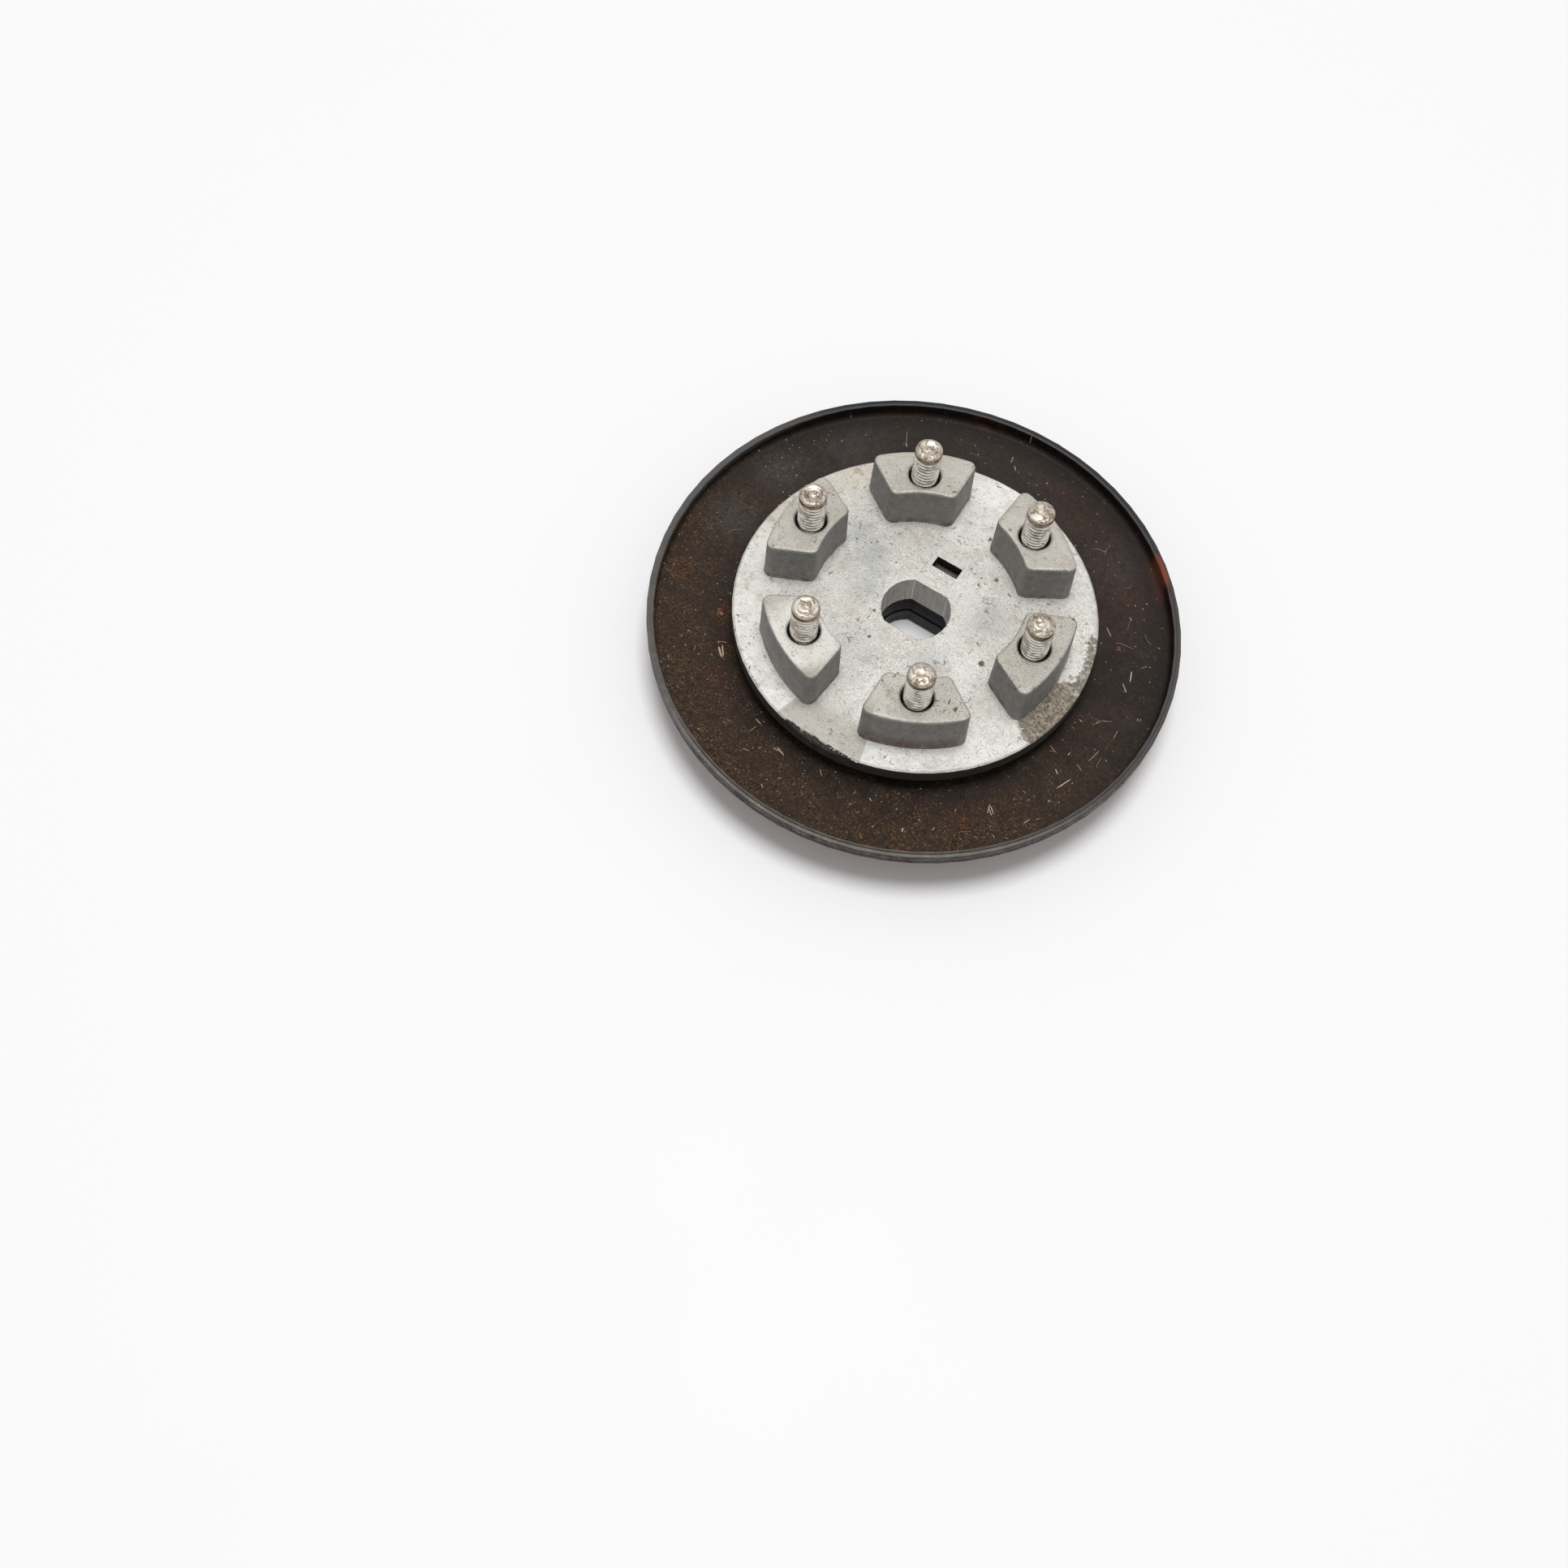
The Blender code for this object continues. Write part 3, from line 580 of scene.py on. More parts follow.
    # Painted highlight: a near-white line down the bore where each flat meets its round part.
    corner = look.math("ABSOLUTE", look.x)
    corner = look.times(look.band(corner, BORE_CORNER - 0.2 * MM, BORE_CORNER + 0.2 * MM, 0.12 * MM), bore)
    side = look.mix(corner, side, (1.0, 0.98, 0.95))
    # Painted shade: the side colour goes on every upright face.
    surface = look.mix(look.times(up, 0.97), surface, side)

    rounded = look.rounded(0.25 * MM)
    edge = look.times(look.worn_edge(rounded), look.ramp(look.z, DISC_TOP - 2.0 * MM, DISC_TOP - 0.2 * MM))
    rubbed = look.ramp(look.noise(1.3 * MM, 3.0), 0.40, 0.56)
    surface = look.mix(look.times(edge, rubbed, 0.55), surface, (0.74, 0.73, 0.71))
    soiled = look.times(edge, look.ramp(look.noise(1.4 * MM, 4.0, 0.7), 0.47, 0.58))
    surface = look.mix(look.times(soiled, 0.85), surface, (0.11, 0.072, 0.045))

    chord = DISC_RADIUS * cos(GATE_HALF_ANGLE)
    reach = look.toward(GATE_ANGLE, look.moved(1.1 * MM, 1.1 * MM, look.plan))
    broken = look.ramp(reach, chord + 0.05 * MM, chord + 0.30 * MM)
    broken = look.times(broken, look.sector(GATE_ANGLE, 15.5, 1.5))
    torn = look.ramp(look.noise(0.6 * MM, 3.0, 0.7), 0.40, 0.62)
    surface = look.mix(broken, surface, look.mix(torn, (0.018, 0.015, 0.013), (0.055, 0.050, 0.045)))

    look.colour(surface)
    dull = look.blend(speck, look.ramp(grain, 0.2, 0.8, 0.44, 0.62), 0.85)
    look.roughness(look.blend(look.most(muddy, broken), dull, 0.85))
    look.metallic(look.blend(look.most(speck, muddy, broken), 0.3, 0.0))
    look.bump(
        (grain, 0.05 * MM), (mottle, 0.06 * MM), (cloud, 0.25 * MM), (speck, -0.04 * MM), (muddy, 0.12 * MM),
        (broken, -0.15 * MM), over=rounded,
    )
    return look


class CLUTCH_OT_hub(bpy.types.Operator):
    """Finish the cast hub with its grain, smudges and specks"""
    bl_idname = "clutch.hub"
    bl_label = "Hub Casting"

    def execute(self, context):
        paint(["hub_casting"], hub_finish(context.scene.clutch_hub))
        return {"FINISHED"}


# ------------------------------------------------------------------ pan
# Blotches, as on the hub.
SHEEN = (
    (-46.8, 18.0, 1.0, 10.0, 4.0, 8.0), (-47.8, 1.0, 1.0, 9.0, 4.0, 8.0),
    (-36.0, 33.0, 1.0, 12.0, 4.0, 8.0, 0.6), (30.0, 40.0, 1.0, 12.0, 0.0, 0.0, 0.5),
)
REDDISH = (
    (-30.8, -26.0, 1.0, 5.5, 4.0, 3.0), (-35.5, -20.0, 0.5, 4.5, 3.0, 2.0),
    (-27.0, -33.0, 0.5, 5.0, 4.0, 3.0), (-50.0, -16.0, 0.5, 5.0, 3.0, 3.0),
    (33.0, -34.0, 0.5, 5.0, 3.0, 3.0),
)
RED_FLOOR = (55, 22, 10)        # directions, half angles and softness in degrees
FLAME = (46.9, 2.6, 2.4)
GLOW = (46.0, 5.0, 2.5)
SEAM = (104, 3.0, 2.0)
RIM_LINE = 56.61 * MM           # painted shade: a fine dark line along the top of the rim, where it turns down
RIM_LIP = 56.78 * MM            # worn outer part of the rim's top starts here


def pan_finish(settings):
    """Dark oiled sheet with sandy rust dust on the near side, fine flecks, and a worn rim."""
    look = Finish("oiled_steel", 0.25, 0.5)
    look.shader.inputs["Specular IOR Level"].default_value = 0.10
    cloud = look.noise(10 * MM, 4.0, 0.6, 0.6)
    mottle = look.noise(2.4 * MM, 4.0, 0.65)
    grain = look.noise(0.50 * MM, 4.0, 0.75)
    near = look.ramp(look.toward(NEAR_SIDE), -30 * MM, 42 * MM)
    outward = look.ramp(look.radius, 40 * MM, 53 * MM)
    steel = look.mix(look.ramp(cloud, 0.35, 0.7), settings.steel, [1.7 * c for c in settings.steel])
    sheen = look.times(look.spots(SHEEN), 0.6)
    surface = look.mix(sheen, steel, (0.066, 0.060, 0.058))
    # Painted shadow: away from the near side, the floor along the wall is painted darker where the wall
    # shades it.
    corner = look.times(look.ramp(look.radius, 49.5 * MM, 55.0 * MM), look.rest(near), 0.7)
    surface = look.mix(corner, surface, (0.011, 0.010, 0.009))

    thick = look.blend(outward, 0.45, 1.0)
    powder = look.ramp(look.plus(look.times(mottle, 0.5), look.times(grain, 0.5)), 0.40, 0.60)
    dust = look.times(near, thick, powder)
    rust = look.mix(look.ramp(mottle, 0.4, 0.62), settings.rust, [0.45 * c for c in settings.rust])
    surface = look.mix(look.times(dust, 0.6), surface, rust)
    red_floor = look.times(look.band(look.radius, 42 * MM, 54 * MM, 4 * MM), look.sector(*RED_FLOOR), 0.3)
    reddish = look.most(look.spots(REDDISH), red_floor)
    reddish = look.times(reddish, look.ramp(mottle, 0.38, 0.62), 0.55)
    surface = look.mix(reddish, surface, (0.095, 0.026, 0.015))
    shade = look.times(look.ramp(look.radius, 46 * MM, 40.5 * MM), near, 0.5)
    patch = look.times(look.ramp(look.noise(1.5 * MM, 4.0, 0.7), 0.46, 0.62), 0.45)
    surface = look.mix(look.most(shade, patch), surface, (0.012, 0.0100, 0.0090))
    pits = look.times(look.ramp(grain, 0.46, 0.60), look.blend(near, 0.35, 0.75))
    surface = look.mix(pits, surface, (0.010, 0.008, 0.007))

    crooked = look.moved(0.5 * MM, 0.4 * MM)
    sandy = look.times(look.blend(near, 0.10, 1.0), look.ramp(mottle, 0.38, 0.58, 0.2, 1.0), thick)
    sand = look.times(look.ramp(look.noise(0.36 * MM, 2.0, 0.6, 0.5), 0.53, 0.63), sandy)
    tan = look.times(look.specks(0.9 * MM, 0.34, 0.17, crooked), look.blend(near, 0.3, 1.0))
    fleck = look.most(look.times(sand, 0.7), look.times(tan, 0.85))
    fleck = look.times(fleck, look.ramp(look.noise(5 * MM, 2.0), 0.34, 0.56, 0.3, 1.0))
    tint = look.ramp(look.noise(1 * MM), 0.4, 0.6)
    surface = look.mix(fleck, surface, look.mix(tint, (0.30, 0.20, 0.105), (0.15, 0.085, 0.042)))
    pale = look.times(look.specks(1.7 * MM, 0.16, 0.10, crooked), 0.7)
    surface = look.mix(pale, surface, (0.50, 0.46, 0.40))
    red = look.specks(4.5 * MM, 0.26, 0.08, look.moved(0.8 * MM, 1.2 * MM))
    surface = look.mix(look.times(red, 0.7), surface, (0.15, 0.045, 0.020))

    left = look.ramp(look.toward(195), 30 * MM, 48 * MM)
    wear = look.ramp(look.noise(2.8 * MM, 4.0, 0.7), 0.38, 0.66)
    land = look.ramp(look.plus(look.z, look.times(left, 1.2 * MM)), PAN_TOP - 0.32 * MM, PAN_TOP - 0.10 * MM)
    surface = look.mix(land, surface, rim_colour(look, settings, near, left, wear))
    outside = look.times(look.ramp(look.radius, 57.0 * MM, 57.25 * MM), look.rest(land))
    surface = look.mix(outside, surface, outer_wall_colour(look, wear))
    below = look.node("SeparateXYZ")
    look.feed(below.inputs[0], look.facing)
    below = look.ramp(below.outputs[2], -0.3, -0.6)
    underside = look.mix(look.ramp(cloud, 0.35, 0.65), (0.20, 0.070, 0.050), (0.09, 0.036, 0.027))
    surface = look.mix(below, surface, underside)

    flame = look.times(look.sector(*FLAME), look.band(look.radius, 55.2 * MM, 56.9 * MM, 0.4 * MM))
    flame = look.times(flame, look.ramp(look.z, PAN_TOP - 3.4 * MM, PAN_TOP - 1.2 * MM))
    flame = look.times(flame, look.ramp(cloud, 0.2, 0.5, 0.6, 1.0))
    glow = look.times(look.sector(*GLOW), look.band(look.radius, 54.0 * MM, 57.0 * MM, 0.8 * MM), 0.4)
    seam = look.times(look.sector(*SEAM), look.band(look.radius, 55.0 * MM, 56.5 * MM, 0.5 * MM))
    surface = look.mix(glow, surface, (0.070, 0.022, 0.013))
    surface = look.mix(look.times(flame, 0.85), surface, (0.24, 0.078, 0.042))
    surface = look.mix(look.times(seam, look.ramp(mottle, 0.4, 0.6), 0.3), surface, (0.13, 0.035, 0.016))
    rounded = look.rounded(0.3 * MM)
    edge = look.ramp(look.z, PAN_TOP - 0.7 * MM, PAN_TOP - 0.2 * MM)
    edge = look.times(look.worn_edge(rounded), wear, near, edge, 0.6)
    surface = look.mix(edge, surface, (0.40, 0.39, 0.38))

    look.colour(surface)
    dusty = look.most(dust, fleck, flame)
    look.roughness(look.blend(dusty, look.ramp(cloud, 0.3, 0.7, 0.42, 0.56), 0.85))
    look.metallic(look.blend(look.most(land, sheen), 0.05, 0.22))
    look.bump((grain, 0.04 * MM), (mottle, 0.05 * MM), (cloud, 0.10 * MM), (fleck, 0.05 * MM), over=rounded)
    return look


def rim_colour(look, settings, near, left, wear):
    """Top of the rim: turned lines, brown and worn bare on the near side, blue-grey behind."""
    brown = look.most(near, look.times(look.ramp(look.toward(-20), 0.0, 45 * MM), 0.4))
    lines = look.noise(0.16 * MM, 2.0, 0.6, point=look.by_radius())
    dark, light = ([share * c for c in settings.rim] for share in (0.45, 0.8))
    rim = look.mix(look.ramp(lines, 0.35, 0.65), dark, light)
    rim = look.mix(look.times(wear, 0.6), rim, look.mix(brown, (0.034, 0.034, 0.035), (0.14, 0.108, 0.085)))
    behind = look.ramp(look.radius, 56.20 * MM, 56.45 * MM)
    behind = look.mix(behind, (0.090, 0.085, 0.088), (0.020, 0.026, 0.029))
    rim = look.mix(look.times(look.rest(brown), 0.85), rim, behind)
    # Painted shade: a fine dark line on the rim top, strongest on the near side and none on the left.
    painted_rim_shade = look.band(look.radius, RIM_LINE - 0.11 * MM, RIM_LINE + 0.11 * MM, 0.08 * MM)
    painted_rim_shade = look.times(painted_rim_shade, look.blend(near, 0.3, 0.9), look.rest(left))
    rim = look.mix(painted_rim_shade, rim, (0.016, 0.013, 0.012))
    lip = look.ramp(look.radius, RIM_LIP, RIM_LIP + 0.17 * MM)
    bare = look.mix(brown, (0.030, 0.036, 0.040), settings.rim)
    rim = look.mix(look.times(lip, look.blend(brown, 0.3, 0.9)), rim, bare)
    chips = look.times(look.specks(2.4 * MM, 0.18, 0.11, look.moved(0.8 * MM, 0.6 * MM)), lip, near)
    rim = look.mix(chips, rim, (0.62, 0.61, 0.59))
    return look.mix(look.times(left, look.ramp(lines, 0.2, 0.6, 0.5, 0.9)), rim, (0.105, 0.100, 0.096))


def outer_wall_colour(look, wear):
    """Outside of the rim: scuffed grey above, red-brown below."""
    blotchy = look.ramp(look.noise(0.8 * MM, 4.0, 0.7), 0.36, 0.62)
    outer = look.mix(blotchy, (0.095, 0.075, 0.070), (0.040, 0.028, 0.027))
    scuffed = look.times(look.band(look.z, PAN_TOP - 1.4 * MM, PAN_TOP - 0.7 * MM, 0.3 * MM), wear)
    outer = look.mix(scuffed, outer, (0.17, 0.165, 0.165))
    return look.mix(look.ramp(look.z, PAN_TOP - 2.2 * MM, PAN_TOP - 3.2 * MM), outer, (0.14, 0.050, 0.040))


class CLUTCH_OT_pan(bpy.types.Operator):
    """Finish the pan with oil, rust dust and a worn rim"""
    bl_idname = "clutch.pan"
    bl_label = "Pan"

    def execute(self, context):
        paint(["pan"], pan_finish(context.scene.clutch_pan))
        return {"FINISHED"}


# ------------------------------------------------------------------ plates, washers, leaf springs
def rolled_finish(name, colour, metallic=0.95, roughness=0.35, rust=0.25, bare=None):
    """Rolled or turned steel: fine lines, clouds of oil and a little rust."""
    look = Finish(name, metallic, roughness)
    lines = look.node("Mapping")
    look.feed(lines.inputs["Vector"], look.point)
    lines.inputs["Scale"].default_value = (0.06, 1.0, 1.0)
    rolled = look.noise(0.25 * MM, 2.0, 0.5, point=lines.outputs[0])
    cloud = look.noise(5 * MM, 4.0, 0.6, 0.5)
    base = look.mix(look.ramp(rolled, 0.3, 0.7), colour, [0.78 * c for c in colour])
    base = look.mix(look.ramp(cloud, 0.45, 0.75), base, [0.6 * c for c in colour])
    spots = look.times(look.ramp(look.noise(2.4 * MM, 4.0, 0.7), 0.56, 0.70), rust)
    base = look.mix(spots, base, (0.17, 0.07, 0.03))
    rounded = look.rounded(0.2 * MM)
    # Lighter edges: worn metal by default; a colour given as bare is a painted highlight.
    edge = look.times(look.worn_edge(rounded), 0.9 if bare else 0.4)
    look.colour(look.mix(edge, base, bare or [min(1.0, 1.5 * c + 0.05) for c in colour]))
    look.roughness(look.blend(spots, look.ramp(cloud, 0.3, 0.7, roughness, roughness + 0.15), 0.8))
    look.bump((rolled, 0.01 * MM), (cloud, 0.05 * MM), over=rounded)
    return look


class CLUTCH_OT_plates(bpy.types.Operator):
    """Finish the plates under the hub"""
    bl_idname = "clutch.plates"
    bl_label = "Plates"

    def execute(self, context):
        paint(["spacer"], rolled_finish("blued_steel", (0.030, 0.032, 0.038), roughness=0.4))
        paint(["backing_plate"], rolled_finish("black_plate", (0.03, 0.03, 0.032), roughness=0.4))
        paint(["bore_collar"], rolled_finish("black_collar", (0.04, 0.042, 0.045), roughness=0.33))
        return {"FINISHED"}


KEY_DROP = 1.2 * MM             # from the face of the disc down to the key
KEY_ROUNDING = 0.10 * MM


class CLUTCH_OT_key(bpy.types.Operator):
    """Model the key that stands in the slot, with its edges rubbed round and painted light as a highlight"""
    bl_idname = "clutch.key"
    bl_label = "Key"

    def execute(self, context):
        select_none()
        low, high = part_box("locating_key")
        high.z = DISC_TOP - KEY_DROP
        bpy.ops.mesh.primitive_cube_add(size=1, location=(low + high) / 2)
        key = context.object
        key.scale = high - low
        set_place(key)
        worn = key.modifiers.new("worn", "BEVEL")
        worn.width = KEY_ROUNDING
        worn.segments = 2
        apply_all(key)
        bpy.ops.object.shade_smooth_by_angle(angle=SHARP)
        # Painted highlight: the rounded edges of the key are painted light grey, so they show as a bright
        # line in the dark slot.
        finish = rolled_finish("key_painted_highlight", (0.030, 0.028, 0.026), 0.4, 0.4, 0.3, bare=(0.55, 0.53, 0.50))
        piece(key, "locating_key_rubbed", HUB_BODY, finish)
        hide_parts("locating_key")
        return {"FINISHED"}


class CLUTCH_OT_washers(bpy.types.Operator):
    """Finish the washers under the plates"""
    bl_idname = "clutch.washers"
    bl_label = "Washers"

    def execute(self, context):
        names = [n for n in NODES if n.startswith("washer_")]
        paint(names, rolled_finish("zinc", (0.46, 0.46, 0.45), roughness=0.38, rust=0.3))
        return {"FINISHED"}


LEAF_WIDTH = 11 * MM
LEAF_LINE = 23.816 * MM         # middle line of a strip to the bore axis
LEAF_ROOT = 13.75 * MM          # its two clamping screws, either side of the foot of that line
LEAF_REACH = 37.294 * MM        # its rivet on the armature ring
LEAF_HOLES = ((-LEAF_ROOT, 3.4 * MM), (LEAF_ROOT, 3.4 * MM), (LEAF_REACH, 1.9 * MM))
LEAF_TURNS = (30, 150, 270)     # directions of the three strips' middle lines, in degrees


def leaf_blank():
    """Flat strip with round ends and three holes, in rows close enough to bend."""
    low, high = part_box("leaf_spring_1")
    half = LEAF_WIDTH / 2
    select_none()
    middle = (LEAF_LINE, (LEAF_REACH - LEAF_ROOT) / 2, low.z)
    bpy.ops.mesh.primitive_grid_add(x_subdivisions=4, y_subdivisions=48, size=1, location=middle)
    leaf = bpy.context.object
    leaf.scale = (LEAF_WIDTH, LEAF_REACH + LEAF_ROOT + LEAF_WIDTH, 1)
    set_place(leaf)
    for vertex in leaf.data.vertices:
        past = max(vertex.co.y - LEAF_REACH, -LEAF_ROOT - vertex.co.y, 0.0)
        share = sqrt(max(0.0, half * half - past * past)) / half
        vertex.co.x = LEAF_LINE + (vertex.co.x - LEAF_LINE) * share
    bpy.ops.object.mode_set(mode="EDIT")
    bpy.ops.mesh.select_all(action="SELECT")
    bpy.ops.mesh.remove_doubles(threshold=0.01 * MM)
    bpy.ops.object.mode_set(mode="OBJECT")
    thick = leaf.modifiers.new("thick", "SOLIDIFY")
    thick.thickness = high.z - low.z
    thick.offset = 1
    apply_all(leaf)
    for y, radius in LEAF_HOLES:
        place = (LEAF_LINE, y, low.z)
        bpy.ops.mesh.primitive_cylinder_add(vertices=32, radius=radius, depth=2 * MM, location=place)
        boolean(leaf, bpy.context.object, "DIFFERENCE")
    take(leaf)
    bpy.ops.object.shade_smooth_by_angle(angle=radians(30))
    return leaf


class CLUTCH_OT_leaf_springs(bpy.types.Operator):
    """Model the leaf springs as three flat strips"""
    bl_idname = "clutch.leaf_springs"
    bl_label = "Leaf Springs"

    def execute(self, context):
        finish = rolled_finish("spring_steel", (0.25, 0.25, 0.26), roughness=0.3, rust=0.35)
        blank = leaf_blank()
        for i, angle in enumerate(LEAF_TURNS, 1):
            node = "leaf_spring_%d" % i
            turn = Matrix.Rotation(radians(angle), 4, "Z")
            leaf = copy_at(blank, "strip", turn)
            dress(leaf, node + "_sprung", finish)
            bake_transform(leaf)
            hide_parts(node)
        bpy.data.objects.remove(blank)
        return {"FINISHED"}


# ------------------------------------------------------------------ armature
def ring_finish():
    """Face-turned steel ring: rings of fine tool marks and thin rust."""
    look = Finish("armature_steel", 0.9, 0.4)
    marks = look.node("TexWave", wave_type="RINGS", rings_direction="Z")
    look.feed(marks.inputs["Vector"], look.point)
    marks.inputs["Scale"].default_value = 260.0
    marks.inputs["Distortion"].default_value = 0.6
    marks.inputs["Detail"].default_value = 1.0
    cloud = look.noise(6 * MM, 4.0, 0.6, 0.5)
    rust = look.ramp(look.noise(3 * MM, 5.0, 0.7), 0.50, 0.68)
    base = look.mix(marks.outputs[1], (0.19, 0.185, 0.18), (0.13, 0.125, 0.12))
    base = look.mix(look.ramp(cloud, 0.4, 0.7), base, (0.09, 0.082, 0.075))
    base = look.mix(look.times(rust, 0.75), base, (0.15, 0.06, 0.028))
    base = look.mix(look.times(look.worn_edge(look.rounded(0.3 * MM)), 0.5), base, (0.34, 0.33, 0.32))
    look.colour(base)
    look.roughness(look.blend(rust, look.ramp(cloud, 0.3, 0.7, 0.34, 0.5), 0.85))
    look.metallic(look.blend(rust, 0.95, 0.1))
    look.bump((marks.outputs[1], 0.01 * MM), (look.noise(0.6 * MM), 0.03 * MM))
    return look


def facing_finish():
    """Moulded friction facing: red-brown with fibres, brass chips and rubbed tracks."""
    look = Finish("friction_material", 0.0, 0.75)
    grain = look.noise(0.5 * MM, 4.0, 0.7)
    chips = look.specks(1.3 * MM, 0.3, 0.2, look.moved(0.6 * MM, 0.5 * MM))
    tracks = look.noise(0.9 * MM, 2.0, 0.5, point=look.by_radius())
    base = look.mix(look.ramp(grain, 0.3, 0.7), (0.16, 0.035, 0.024), (0.08, 0.022, 0.017))
    base = look.mix(look.times(look.ramp(tracks, 0.5, 0.7), 0.4), base, (0.05, 0.03, 0.027))
    base = look.mix(look.times(chips, 0.8), base, (0.32, 0.22, 0.10))
    look.colour(base)
    look.roughness(look.ramp(tracks, 0.4, 0.7, 0.82, 0.6))
    look.bump((grain, 0.06 * MM), (tracks, 0.03 * MM))
    return look


def rubber_finish():
    """Matt black moulded rubber with a bloom of dust."""
    look = Finish("stop_rubber", 0.0, 0.8)
    bloom = look.noise(1.5 * MM, 4.0, 0.6)
    base = look.mix(look.ramp(bloom, 0.4, 0.75), (0.014, 0.014, 0.014), (0.05, 0.046, 0.042))
    look.colour(base)
    look.roughness(look.ramp(bloom, 0.3, 0.7, 0.7, 0.92))
    look.bump((look.noise(0.3 * MM), 0.02 * MM))
    return look


class CLUTCH_OT_armature(bpy.types.Operator):
    """Finish the armature ring, its facing, rivets and stop pads"""
    bl_idname = "clutch.armature"
    bl_label = "Armature"

    def execute(self, context):
        paint(["armature_ring"], ring_finish())
        paint(["friction_facing"], facing_finish())
        rivets = [n for n in NODES if n.startswith("armature_rivet_")]
        paint(rivets, rolled_finish("rivet_steel", (0.34, 0.33, 0.32), roughness=0.32, rust=0.45))
        paint([n for n in NODES if n.startswith("stop_pad_")], rubber_finish())
        return {"FINISHED"}


# ------------------------------------------------------------------ screws
THREAD_DEPTH = 0.56 * MM
THREAD_START = SCREW_TOP - 2.2 * MM
COLLAR_TOP = SCREW_TOP - 1.0 * MM      # the plain collar ends here, and the battered end begins
HEAD_TOP = 2.6 * MM
HEAD_RADIUS = 5.2 * MM
HEAD_EDGE = 0.5 * MM
NEARLY = 0.01 * MM

# Socket in the head, from its mouth to its floor: radius and height.
SOCKET = ((2.45 * MM, 0.0), (2.25 * MM, 0.15 * MM), (2.2 * MM, 1.3 * MM), (0.8 * MM, 1.45 * MM))

# Half of a thread's ridge: depth below the crest in metres, and distance from its middle in pitches.
RIDGE = ((THREAD_DEPTH + 0.12 * MM, 0.46), (THREAD_DEPTH, 0.40), (0.04 * MM, 0.15), (0.0, 0.06))


def screw_finish(settings):
    """Bright nickel on the crests, darker the deeper a point lies in the roots and the cup, brown film on
    the collar and the end.
    """
    look = Finish("plated_steel", 1.0, 0.25)
    depth = look.node("Attribute", attribute_name="depth").outputs["Fac"]
    grime = look.noise(1.0 * MM, 4.0, 0.65, 0.6)
    fine = look.noise(0.22 * MM, 3.0, 0.65)
    base = look.mix(look.ramp(fine, 0.3, 0.7), settings.metal, [0.80 * c for c in settings.metal])
    film = look.ramp(look.noise(2.2 * MM, 3.0, 0.5, 0.8), 0.44, 0.62)
    base = look.mix(look.times(film, 0.65), base, (0.20, 0.145, 0.09))
    below = look.math("SUBTRACT", SCREW_TOP, look.z)
    collar = look.band(below, 0.75 * MM, 2.0 * MM, 0.15 * MM)
    base = look.mix(look.times(collar, look.ramp(fine, 0.3, 0.6, 0.55, 0.8)), base, (0.30, 0.235, 0.165))
    bright = look.band(below, 2.12 * MM, 2.32 * MM, 0.06 * MM)
    base = look.mix(look.times(bright, 0.8), base, settings.metal)
    end = look.ramp(below, 0.80 * MM, 0.60 * MM)
    soil = look.times(end, look.ramp(look.noise(1.3 * MM, 4.0, 0.65, 1.2), 0.46, 0.62))
    base = look.mix(look.times(end, 0.6), base, (0.42, 0.365, 0.295))
    base = look.mix(look.times(soil, 0.75), base, (0.14, 0.098, 0.06))
    # Darker the deeper a point lies in a thread root or in the cup of the end.
    root = look.ramp(depth, 0.34, 0.84)
    base = look.mix(look.times(root, look.ramp(grime, 0.2, 0.6, 0.8, 1.0)), base, (0.022, 0.014, 0.009))
    look.colour(base)
    polish = look.blend(end, look.ramp(fine, 0.2, 0.8, 0.20, 0.36), 0.42)
    look.roughness(look.blend(look.most(root, soil), polish, 0.65))
    look.bump((fine, 0.02 * MM), (grime, 0.05 * MM), (soil, -0.05 * MM))
    return look


def turn_up(levels):
    """Extrude the selected end face of the upright piece in hand through (radius, height) steps."""
    radius, height = levels[0]
    for next_radius, next_height in levels[1:]:
        bpy.ops.mesh.extrude_region_move(TRANSFORM_OT_translate={"value": (0, 0, next_height - height)})
        share = next_radius / radius
        bpy.ops.transform.resize(value=(share, share, 1), center_override=(0, 0, 0))
        radius, height = next_radius, next_height


def screw_core(settings):
    """Shank, head and collar of one screw about the axis, without its thread and its end."""
    crest = settings.diameter / 2
    root = crest - THREAD_DEPTH
    thread_end = THREAD_START - settings.pitch * settings.turns
    bpy.ops.mesh.primitive_cylinder_add(vertices=settings.flats, radius=crest, depth=thread_end - HEAD_TOP,
                                        location=(0, 0, (thread_end + HEAD_TOP) / 2))
    core = bpy.context.object
    set_place(core)
    bpy.ops.object.mode_set(mode="EDIT")
    bpy.ops.mesh.select_mode(type="FACE")
    pick(core, "FACE", lambda c: c.z > thread_end - NEARLY)
    turn_up([
        (crest, thread_end), (root, thread_end + 0.3 * MM), (root, THREAD_START),
        (crest, THREAD_START + 0.25 * MM), (crest, COLLAR_TOP),
    ])
    pick(core, "FACE", lambda c: c.z < HEAD_TOP + NEARLY)
    flat = HEAD_RADIUS - HEAD_EDGE
    turn_up([
        (crest, HEAD_TOP), (flat, HEAD_TOP - 0.01 * NEARLY), (HEAD_RADIUS, HEAD_TOP - HEAD_EDGE),
        (HEAD_RADIUS, HEAD_EDGE), (flat, 0.0), *SOCKET,
    ])
    bpy.ops.mesh.select_all(action="SELECT")
    bpy.ops.mesh.normals_make_consistent(inside=False)
    bpy.ops.object.mode_set(mode="OBJECT")
    return core


